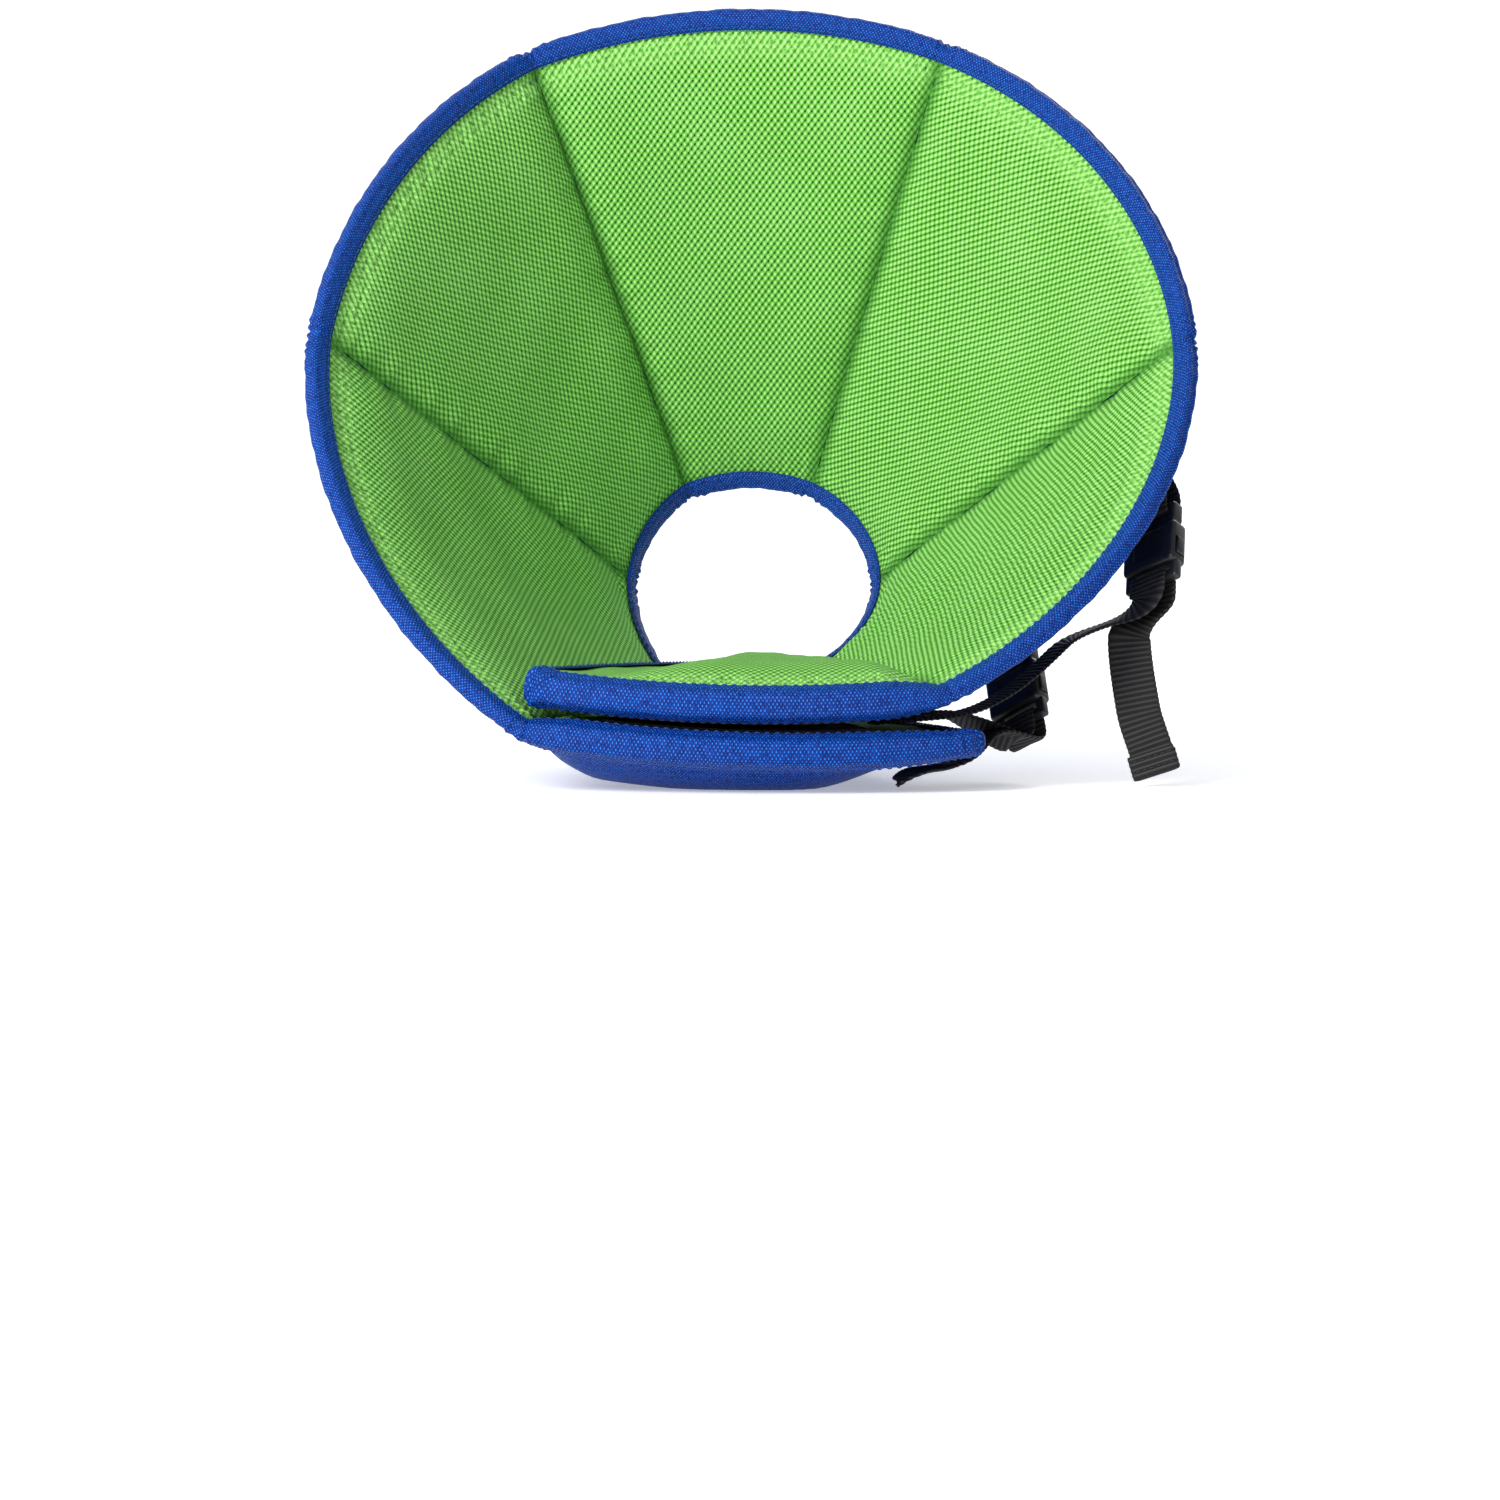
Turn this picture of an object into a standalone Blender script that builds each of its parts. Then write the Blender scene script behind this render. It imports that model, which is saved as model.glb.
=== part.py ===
"""A soft recovery collar: a strip of seven padded panels, closed into a cone whose two end panels overlap.

It lies on its closure, with the wide rim towards -Y and the neck opening towards +Y. The shape is worked
out about the cone's apex, a point behind the neck where all the seams would meet, and is set on z = 0 at
the end.
"""

import math

import bmesh
import bpy
from mathutils import Matrix, Vector

# Driving sizes, in metres
RIM_RADIUS = 0.162  # from the cone's axis to a seam, at the rim
NECK_RADIUS = 0.052
WALL_LENGTH = 0.183  # from the neck's edge to the rim's, along a seam
PAD_EDGE = 0.0016  # foam and cover pressed together at the very edge
PAD_BOUND = 0.0026  # and where the binding ends
FLAP_BOUND = 0.0088  # the same on the two flaps, whose edges keep their foam
CROWN = 0.0052  # how far a panel's face swells past its bound edge
SEAM_REACH = 0.022  # how far from a seam the padding is pulled down
CROWN_REACH = 0.030
LINING = 0.0012
TAPE = 0.0008  # edge binding
LAP = 0.0048  # how far the binding covers each face
ROLL = 0.0028  # how far it stands out past the panels' edge
CORNER = 0.014  # rounding of the strip's four corners
HOOK_TAPE = 0.0014
TAPE_MARGIN = 0.004  # between the edge binding and the hook-and-loop tapes
FLATTENED = 0.0015  # how far the panel underneath is pressed up by the floor
NECK_CUT = 0.009  # how much the inner flap's end is cut back at the neck
WEB_WIDTH = 0.015
WEB = 0.0015
BUCKLE_WIDTH = 0.022
BUCKLE_THICK = 0.008
BUCKLE_WALL = 0.0016
BODY_LENGTH = 0.017  # the socket half, up to its slot
PLUG_LENGTH = 0.0080  # the plug half, outside the socket
BAR = 0.0022
SLOT = 0.0032
SLOT_SET = 0.0006  # between the socket's body and its slot
PLUG_THICK = 0.0052
PLUG_INSET = 0.001  # how much narrower the plug is than the socket, each side
LOOP_HALF = 0.0018  # half the thickness of the socket's bar
KNOB_PROUD = 0.0008  # how far the plug's two buttons stand out of the socket
SLOT_PLAY = 0.0007  # how much wider a slot is than the webbing, each side
BAR_RUN = 0.004  # how far past a bar the webbing still lies along the buckle
BAR_EASE = 0.0002  # how much the webbing rises off it there
SEWN = 0.028  # how much of a strap's end is sewn down
TAIL_FOLD = 0.008
FOLDED = (1.08, 2.1)  # the shares of the width and the thickness where a tail's end is folded over
POINTED = ((0.62, 1), (0.2, 1))  # and where one is cut to a point
GAP = 0.0003  # between pieces
FACET_GAP = 0.0006  # between pieces whose facets don't line up

# The distance between the middles of the two flaps, with the fastening tape between them
FLAP_STEP = FLAP_BOUND + LINING + 2 * HOOK_TAPE + 7 * GAP

# The strip's seams and ends, in order. turn is the angle round the axis, seen from the rim, with 0 at +X.
# spread is the angle from the axis, as a share of the mean; level means that the line lies level instead.
# lift raises the line, as a share of FLAP_STEP.
LEVEL = None
SEAMS = (
    # turn, spread, lift
    (-117.0, LEVEL, 0.62),  # inner flap's end
    (-68.2, LEVEL, 0.40),
    (-1.8, 0.931, 0.0),
    (63.3, 0.988, 0.0),
    (120.6, 1.064, 0.0),
    (180.1, 0.953, 0.0),
    (243.0, 1.066, -0.38),
    (296.6, LEVEL, -0.64),  # outer flap's end
)
RESTING_SEAM = 6

# The panels between them. bow is how far the middle bends outwards, in degrees seen from the apex.
# sag lowers the middle, as a share of FLAP_STEP. The crowns are shares of CROWN, inside and outside.
PANELS = (
    # name, bow, sag, crown inside, crown outside
    ("panel_inner_flap", 0.0, -0.28, 1.4, 0.0),
    ("panel_lower_right", 3.9, 0.0, 1.0, 1.0),
    ("panel_upper_right", 3.4, 0.0, 1.0, 1.0),
    ("panel_top", 2.6, 0.0, 1.0, 1.0),
    ("panel_upper_left", 1.7, 0.0, 1.0, 1.0),
    ("panel_lower_left", 3.5, 0.0, 1.0, 1.0),
    ("panel_outer_flap", 0.0, -0.31, 0.0, 2.0),
)
INNER_FLAP = 0
OUTER_FLAP = len(PANELS) - 1
STRIP_END = len(PANELS)

# The two straps. from_rim is from the rim's edge to the middle of a strap where it leaves the flap.
# The hold and the anchor's two ends are places on the lower right panel: the share of it above its bottom
# seam, and the distance from the rim. clear is how far the strap stands off the panel at the hold.
STRAPS = (
    # name, from_rim, hold, clear, anchor's near end, anchor's far end
    ("front", 0.033, (0.32, 0.033), 0.0090, (0.78, 0.028), (0.90, 0.032)),
    ("rear", 0.054, None, 0.0, (0.355, 0.072), (0.46, 0.089)),
)
# How the buckles and the loose tails hang. Places are from the apex, but heights from the floor.
HANGING = {
    # name: rows of place, direction of the run, direction of the width. The first row is the buckle's
    "front": (
        ((0.1382, -0.2010, 0.0862), (-0.10, -0.57, -0.82), (-0.722, 0.567, -0.397)),
        ((0.1270, -0.2212, 0.0495), (0.04, -0.05, -1.0), (-0.93, 0.36, -0.055)),
        ((0.1297, -0.2252, 0.0265), (0.16, -0.15, -0.97), (-0.95, 0.20, -0.19)),
        ((0.1337, -0.2302, 0.0118), (0.24, -0.30, -0.92), (-0.93, 0.27, -0.33)),
    ),
    "rear": (
        ((0.0906, -0.1898, 0.0376), (0.08, -0.57, -0.81), (-0.722, 0.567, -0.397)),
        ((0.0805, -0.2140, 0.0172), (-0.80, -0.30, -0.45), (-0.30, 0.95, 0.0)),
        ((0.0652, -0.2310, 0.0076), (-0.90, -0.30, -0.22), (-0.32, 0.95, 0.0)),
        ((0.0469, -0.2502, 0.0018), (-0.66, -0.25, -0.70), (-0.35, 0.94, 0.0)),
    ),
}

# What follows from the sizes
MEAN_SPREAD = math.asin((RIM_RADIUS - NECK_RADIUS) / WALL_LENGTH)
NECK = NECK_RADIUS / math.sin(MEAN_SPREAD)  # from the apex to the neck's edge, along a seam
RIM = NECK + WALL_LENGTH
RESTING_TURN = math.radians(SEAMS[RESTING_SEAM][0])
LIE = math.atan(-math.sin(RESTING_TURN) * math.tan(MEAN_SPREAD * SEAMS[RESTING_SEAM][1]))
AXIS = Vector((0, -math.cos(LIE), math.sin(LIE)))
ACROSS_UP = Vector((0, math.sin(LIE), math.cos(LIE)))
RIGHT = Vector((1, 0, 0))
UP = Vector((0, 0, 1))
INSIDE, OUTSIDE = 1, -1
ENDS_FLAT = 0.17  # the share of a flap, at its free end, that has no crown
FLAP_EDGE = 0.5  # the share of a flap's extra foam that reaches its very edge
END_CROWN_REACH = 0.30


def resting_height():
    """How far the floor is below the apex."""
    lifts = (SEAMS[OUTER_FLAP][2] + SEAMS[STRIP_END][2]) / 2 + PANELS[OUTER_FLAP][2]
    return -lifts * FLAP_STEP + FLAP_BOUND / 2 + PANELS[OUTER_FLAP][4] * CROWN - FLATTENED


FLOOR = -resting_height()


def material(name, colour, roughness, metallic=0.0):
    made = bpy.data.materials.new(name)
    made.use_nodes = True
    shader = made.node_tree.nodes["Principled BSDF"]
    shader.inputs["Base Color"].default_value = (*colour, 1)
    shader.inputs["Roughness"].default_value = roughness
    shader.inputs["Metallic"].default_value = metallic
    made.diffuse_color = (*colour, 1)
    return made


def clamped(value, low=0.0, high=1.0):
    return max(low, min(high, value))


def swell(share):
    """Rises from 0 to 1 along a parabola, steepest at 0."""
    return 1 - (1 - clamped(share)) ** 2


def hump(share):
    """0 at both ends of a panel and 1 in its middle."""
    return 4 * share * (1 - share)


def seam_direction(turn, spread):
    turn = math.radians(turn)
    if spread is LEVEL:
        angle = math.atan2(math.tan(LIE), -math.sin(turn))
    else:
        angle = MEAN_SPREAD * spread
    ring = RIGHT * math.cos(turn) + ACROSS_UP * math.sin(turn)
    return AXIS * math.cos(angle) + ring * math.sin(angle)


SEAM_DIRECTIONS = [seam_direction(turn, spread) for turn, spread, lift in SEAMS]


def panel_of(along):
    """The panel's number and the share of it that lies before this place on the strip."""
    number = int(clamped(math.floor(along), 0, OUTER_FLAP))
    return number, along - number


def cut_back(along, out):
    """Moves a place on the inner flap away from its end, which is cut off at a slant."""
    if along >= 1:
        return along
    cut = NECK_CUT / (out * (SEAM_DIRECTIONS[1] - SEAM_DIRECTIONS[0]).length)
    cut *= (RIM - out) / WALL_LENGTH
    return along + cut * (1 - along)


def middle(along, out):
    """The middle of the wall: along counts panels from the inner flap's end, out is measured from the apex."""
    number, share = panel_of(cut_back(along, out))
    first, second = SEAM_DIRECTIONS[number], SEAM_DIRECTIONS[number + 1]
    name, bow, sag, inside, outside = PANELS[number]
    straight = first.lerp(second, share).normalized()
    bend = math.radians(bow) * hump(share)
    outward = second.cross(first).normalized()
    lift = SEAMS[number][2] * (1 - share) + SEAMS[number + 1][2] * share + sag * hump(share)
    return (straight * math.cos(bend) + outward * math.sin(bend)) * out + UP * lift * FLAP_STEP


STEP = 0.0025


def per_panel(along, out):
    """The width of one panel here."""
    small = 0.02
    return (middle(along + small, out) - middle(along - small, out)).length / (2 * small)


def outwards(along, out):
    return (middle(along, out + STEP) - middle(along, out - STEP)).normalized()


def inward_normal(along, out):
    small = STEP / per_panel(along, out)
    onwards = middle(along + small, out) - middle(along - small, out)
    return outwards(along, out).cross(onwards).normalized()


def padding(along, out, side):
    """Half the padding's thickness on one side of the wall's middle."""
    number, share = panel_of(along)
    width = per_panel(number + 0.5, out)
    pulled, crown = 1.0, 1.0
    to_edge = min(RIM - out, out - NECK)
    nearest = to_edge
    for distance, seam in ((share, number), (1 - share, number + 1)):
        if seam in (0, STRIP_END):
            crown *= swell((distance - ENDS_FLAT) / END_CROWN_REACH)
            nearest = min(nearest, distance * width)
        else:
            pulled *= swell(distance * width / SEAM_REACH)
    crown *= PANELS[number][3 if side == INSIDE else 4] * CROWN * swell((to_edge - LAP) / CROWN_REACH)
    to_lap = clamped(nearest / LAP)
    seam = PAD_EDGE + (PAD_BOUND - PAD_EDGE) * to_lap
    bound = seam
    if number in (INNER_FLAP, OUTER_FLAP):
        bound += (FLAP_BOUND - PAD_BOUND) * (FLAP_EDGE + (1 - FLAP_EDGE) * to_lap)
    return seam / 2 + pulled * ((bound - seam) / 2 + crown)


def face(along, out, side, raised=0.0):
    """A point on the padding's face, or raised off it. The floor flattens what rests on it."""
    depth = padding(along, out, side) + raised
    point = middle(along, out) + inward_normal(along, out) * side * depth
    point.z = max(point.z, FLOOR)
    return point


def corner_inset(along, out):
    """How far the strip's rounded corners take its long edges in."""
    to_end = min(along, STRIP_END - along) * per_panel(clamped(along, 0.5, STRIP_END - 0.5), out)
    if to_end >= CORNER:
        return 0.0
    return CORNER - math.sqrt(CORNER**2 - (CORNER - to_end) ** 2)


def rim_edge(along):
    return RIM - corner_inset(along, RIM)


def neck_edge(along):
    return NECK + corner_inset(along, NECK)


def eased(count):
    """Shares from 0 to 1, closer together at the ends."""
    return [0.5 - 0.5 * math.cos(math.pi * i / count) for i in range(count + 1)]


FLAP_CELLS, PANEL_CELLS, WALL_CELLS = 12, 10, 7


def panel_steps(number):
    return eased(FLAP_CELLS if number in (INNER_FLAP, OUTER_FLAP) else PANEL_CELLS)


def wall_steps(along):
    """Places from the neck's edge to the rim's, with one at each edge of the binding."""
    low, high = neck_edge(along), rim_edge(along)
    inner = [low + LAP + share * (high - low - 2 * LAP) for share in eased(WALL_CELLS - 2)]
    return [low, *inner, high]


def finish(bm, name, surface, smooth_angle=40):
    bmesh.ops.recalc_face_normals(bm, faces=bm.faces)
    mesh = bpy.data.meshes.new(name)
    bm.to_mesh(mesh)
    bm.free()
    mesh.shade_smooth()
    mesh.set_sharp_from_angle(angle=math.radians(smooth_angle))
    mesh.materials.append(surface)
    made = bpy.data.objects.new(name, mesh)
    COLLECTION.objects.link(made)
    return made


def two_faced(name, columns, rows, faces, surface):
    """A closed body between two faces. rows(column) gives the places down a column, and each of the faces is a
    function that turns a place into a point."""
    places = [[(column, row) for row in rows(column)] for column in columns]
    across, down = len(places) - 1, len(places[0]) - 1
    bm = bmesh.new()
    for point in faces:
        made = bmesh.ops.create_grid(bm, x_segments=across, y_segments=down, size=0.5)
        for vert in made["verts"]:
            column = round((vert.co.x + 0.5) * across)
            row = round((vert.co.y + 0.5) * down)
            vert.co = point(*places[column][row])
    bmesh.ops.bridge_loops(bm, edges=[edge for edge in bm.edges if edge.is_boundary])
    return finish(bm, name, surface)


def padded_panel(number):
    ends = panel_steps(number)
    low = number + (0 if number == INNER_FLAP else GAP / 2 / per_panel(number + 0.5, NECK))
    high = number + 1 - (0 if number == OUTER_FLAP else GAP / 2 / per_panel(number + 0.5, NECK))
    columns = [low + share * (high - low) for share in ends]
    faces = [lambda along, out, side=side: face(along, out, side) for side in (INSIDE, OUTSIDE)]
    return two_faced(PANELS[number][0], columns, wall_steps, faces, BLUE)


def mesh_lining():
    columns = [number + share for number in range(STRIP_END) for share in panel_steps(number)[:-1]]
    columns.append(STRIP_END)
    faces = [
        lambda along, out: face(along, out, INSIDE, GAP + LINING),
        lambda along, out: face(along, out, INSIDE, GAP),
    ]
    return two_faced("mesh_lining", columns, wall_steps, faces, GREEN)


def edge_places():
    """Places all round the strip's edge: the rim, the outer flap's end, the neck and the inner flap's end."""
    columns = [number + share for number in range(STRIP_END) for share in panel_steps(number)[:-1]]
    columns.append(STRIP_END)
    rim = [(along, rim_edge(along)) for along in columns]
    neck = [(along, neck_edge(along)) for along in reversed(columns)]
    outer_end = [(STRIP_END, out) for out in reversed(wall_steps(STRIP_END)[1:-1])]
    inner_end = [(0, out) for out in wall_steps(0)[1:-1]]
    return rim + outer_end + neck + inner_end


def edge_binding():
    """Tape folded over the strip's edge: each section is a U round the padding, and they run in a ring."""
    places = edge_places()
    sections = []
    for i, (along, out) in enumerate(places):
        before, after = places[i - 1], places[(i + 1) % len(places)]
        width = per_panel(clamped(along, 0.1, STRIP_END - 0.1), out)
        run = Vector(((after[0] - before[0]) * width, after[1] - before[1])).normalized()
        inwards = Vector((run.y / width, -run.x))

        def at(distance, side, raised):
            return face(along + inwards.x * distance, out + inwards.y * distance, side, raised)

        edge = middle(along, out)
        off = edge - middle(along + inwards.x * STEP, out + inwards.y * STEP)
        off.normalize()
        up = inward_normal(along, out)
        over, under = LINING + GAP + FACET_GAP, FACET_GAP
        top = padding(along, out, INSIDE) + over
        bottom = padding(along, out, OUTSIDE) + under
        crest = edge + up * (top - bottom) / 2
        half = (top + bottom) / 2 + TAPE
        sections.append(
            [
                at(LAP, INSIDE, over),
                at(LAP, INSIDE, over + TAPE),
                at(0, INSIDE, over + TAPE),
                crest + up * half * 0.62 + off * ROLL * 0.8,
                crest + off * ROLL,
                crest - up * half * 0.62 + off * ROLL * 0.8,
                at(0, OUTSIDE, under + TAPE),
                at(LAP, OUTSIDE, under + TAPE),
                at(LAP, OUTSIDE, under),
                at(0, OUTSIDE, under) + off * GAP,
                at(0, INSIDE, over) + off * GAP,
            ]
        )
    return ringed("edge_binding", sections, BLUE, closed=True)


def ringed(name, sections, surface, closed=False):
    """A loft through sections that have the same number of points."""
    bm = bmesh.new()
    rings = [[bm.verts.new(point) for point in section] for section in sections]
    pairs = list(zip(rings, rings[1:]))
    if closed:
        pairs.append((rings[-1], rings[0]))
    for first, second in pairs:
        for i in range(len(first)):
            j = (i + 1) % len(first)
            bm.faces.new((first[i], first[j], second[j], second[i]))
    if not closed:
        bm.faces.new(rings[0])
        bm.faces.new(rings[-1])
    return finish(bm, name, surface)


def fastening_tape(name, number, side, base, free, seam):
    """One half of the hook-and-loop closure, sewn on a flap's face. free and seam are the shares of the flap
    that stay bare at its free end and at its seam."""
    edge = LAP + TAPE_MARGIN

    def rows(column):
        return [NECK + edge + (RIM - NECK - 2 * edge) * share for share in eased(WALL_CELLS - 2)]

    def place(column, out):
        bare = max(free, edge / per_panel(number + 0.5, out))
        from_end = bare + (1 - seam - bare) * column
        return (number + from_end if number == INNER_FLAP else number + 1 - from_end), out

    faces = [
        lambda column, out: face(*place(column, out), side, base + HOOK_TAPE),
        lambda column, out: face(*place(column, out), side, base),
    ]
    columns = [i / FLAP_CELLS for i in range(FLAP_CELLS + 1)]
    return two_faced(name, columns, rows, faces, BLACK)


def smooth_path(holds, pieces):
    """Points of a smooth curve through the holds, each (point, direction, width's direction)."""
    path = []
    for (start, leave, first), (end, arrive, second) in zip(holds, holds[1:]):
        reach = (end - start).length
        for i in range(pieces):
            t = i / pieces
            a, b = 2 * t**3 - 3 * t**2 + 1, t**3 - 2 * t**2 + t
            c, d = 3 * t**2 - 2 * t**3, t**3 - t**2
            point = start * a + leave * reach * b + end * c + arrive * reach * d
            path.append((point, first.lerp(second, t).normalized()))
    path.append((holds[-1][0], holds[-1][2].normalized()))
    return path


def webbing(name, path, tip=()):
    """A flat strap along a path. tip gives the shares of the width and the thickness at the last sections."""
    sections = []
    shares = [(1, 1)] * (len(path) - len(tip)) + list(tip)
    for i, (point, across) in enumerate(path):
        before, after = path[max(i - 1, 0)][0], path[min(i + 1, len(path) - 1)][0]
        run = (after - before).normalized()
        thick = run.cross(across).normalized()
        across = thick.cross(run).normalized()
        side, lift = across * WEB_WIDTH / 2 * shares[i][0], thick * WEB / 2 * shares[i][1]
        sections.append([point + side + lift, point - side + lift, point - side - lift, point + side - lift])
    return ringed(name, sections, BLACK)


def box_object(name, low, high, collection, bevel=0.0):
    bm = bmesh.new()
    for vert in bmesh.ops.create_cube(bm, size=1)["verts"]:
        vert.co = Vector(((c + 0.5) * (b - a) + a for c, a, b in zip(vert.co, low, high)))
    if bevel:
        bmesh.ops.bevel(
            bm,
            geom=bm.edges[:],
            offset=bevel,
            segments=2,
            affect="EDGES",
            profile=0.5,
        )
    bmesh.ops.recalc_face_normals(bm, faces=bm.faces)
    mesh = bpy.data.meshes.new(name)
    bm.to_mesh(mesh)
    bm.free()
    made = bpy.data.objects.new(name, mesh)
    collection.objects.link(made)
    return made


def shaped(name, first, joined, cut, place):
    """A moulded piece: boxes joined to the first one, and others cut from it. Each is (low, high, bevel)."""
    body = box_object(name, first[0], first[1], COLLECTION, first[2])
    body.data.materials.append(PLASTIC)
    for operation, boxes in (("UNION", joined), ("DIFFERENCE", cut)):
        for i, (low, high, bevel) in enumerate(boxes):
            tool = box_object(f"{name}_{operation.lower()}_{i}", low, high, CUTTERS, bevel)
            tool.hide_render = True
            tool.display_type = "WIRE"
            tool.matrix_world = place
            modifier = body.modifiers.new(tool.name, "BOOLEAN")
            modifier.operation = operation
            modifier.object = tool
    body.matrix_world = place
    body.data.shade_smooth()
    body.data.set_sharp_from_angle(angle=math.radians(35))
    return body


SLOT_HALF = WEB_WIDTH / 2 + SLOT_PLAY
POCKET_HALF = BUCKLE_WIDTH / 2 - BUCKLE_WALL
POCKET_THICK = BUCKLE_THICK / 2 - BUCKLE_WALL
SOCKET_FAR = BODY_LENGTH + SLOT_SET + SLOT + BAR  # the socket's far end
PLUG_FAR = -PLUG_LENGTH - GAP
ARM = 0.0022
WINDOW = (0.0068, 0.0140)


def socket_half(name, place):
    """The half that the plug clicks into. Its own x runs down the strap, away from the plug."""
    half = BUCKLE_WIDTH / 2
    body = ((0, -half, -BUCKLE_THICK / 2), (BODY_LENGTH, half, BUCKLE_THICK / 2), 0.0011)
    loop = ((BODY_LENGTH - BUCKLE_WALL, -half, -LOOP_HALF), (SOCKET_FAR, half, LOOP_HALF), 0.0006)
    slot_from = BODY_LENGTH + SLOT_SET
    slot = ((slot_from, -SLOT_HALF, -BUCKLE_THICK), (slot_from + SLOT, SLOT_HALF, BUCKLE_THICK), 0)
    pocket_end = BODY_LENGTH - BUCKLE_WALL
    pocket = ((-BAR, -POCKET_HALF, -POCKET_THICK), (pocket_end, POCKET_HALF, POCKET_THICK), 0)
    windows = (
        (WINDOW[0], -BUCKLE_WIDTH, -POCKET_THICK),
        (WINDOW[1], BUCKLE_WIDTH, POCKET_THICK),
        0,
    )
    return shaped(name, body, [loop], [slot, pocket, windows], place)


def plug_half(name, place):
    """The half with two sprung arms and a centre tongue, and a bar that its loop of strap goes round."""
    half, thick = BUCKLE_WIDTH / 2 - PLUG_INSET, PLUG_THICK / 2
    plate = ((PLUG_FAR, -half, -thick), (-GAP, half, thick), 0.0008)
    inside = POCKET_THICK - GAP
    reach = WINDOW[1] - GAP
    joined = []
    for side in (-1, 1):
        outer, inner = side * (POCKET_HALF - 2 * GAP), side * (POCKET_HALF - 2 * GAP - ARM)
        low, high = min(outer, inner), max(outer, inner)
        joined.append(((-BAR, low, -inside), (reach, high, inside), 0))
        knob = side * (BUCKLE_WIDTH / 2 + KNOB_PROUD)
        low, high = min(knob, inner), max(knob, inner)
        joined.append(((WINDOW[0] + GAP, low, -inside + GAP), (reach, high, inside - GAP), 0.0005))
    joined.append(((-BAR, -ARM / 2, -inside), (WINDOW[1], ARM / 2, inside), 0))
    slot_from = PLUG_FAR + BAR
    slot = ((slot_from, -SLOT_HALF, -BUCKLE_THICK), (slot_from + SLOT, SLOT_HALF, BUCKLE_THICK), 0)
    return shaped(name, plate, joined, [slot], place)


def turned(points, place):
    """Points given in the buckle's own x and z, with the strap's width along its y."""
    across = place.to_3x3() @ Vector((0, 1, 0))
    return [(place @ Vector((x, 0, z)), across) for x, z in points]


def round_bar(bar, slot_middle, thick, outer_side):
    """The way round a bar, in x and z. bar is its outer face, thick half its thickness, and outer_side
    the sign of x beyond it."""
    clear = thick + GAP + WEB / 2
    return [
        (bar + outer_side * BAR_RUN, -clear - 1.5 * BAR_EASE),
        (bar, -clear - BAR_EASE),
        (bar - outer_side * BAR * 0.75, -clear),
        (slot_middle + outer_side * SLOT_PLAY, -clear * 0.86),
        (slot_middle, -clear * 0.35),
        (slot_middle, clear * 0.35),
        (slot_middle + outer_side * SLOT_PLAY, clear * 0.86),
        (bar - outer_side * BAR * 0.75, clear),
        (bar, clear + BAR_EASE),
        (bar + outer_side * BAR_RUN, clear + 1.5 * BAR_EASE),
    ]


def in_sense(holds, across):
    """The same points, with each width's direction turned round where it opposes the one before."""
    turned_holds = []
    for hold in holds:
        across = hold[-1] * (1 if hold[-1].dot(across) > 0 else -1)
        turned_holds.append((*hold[:-1], across))
    return turned_holds


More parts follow.
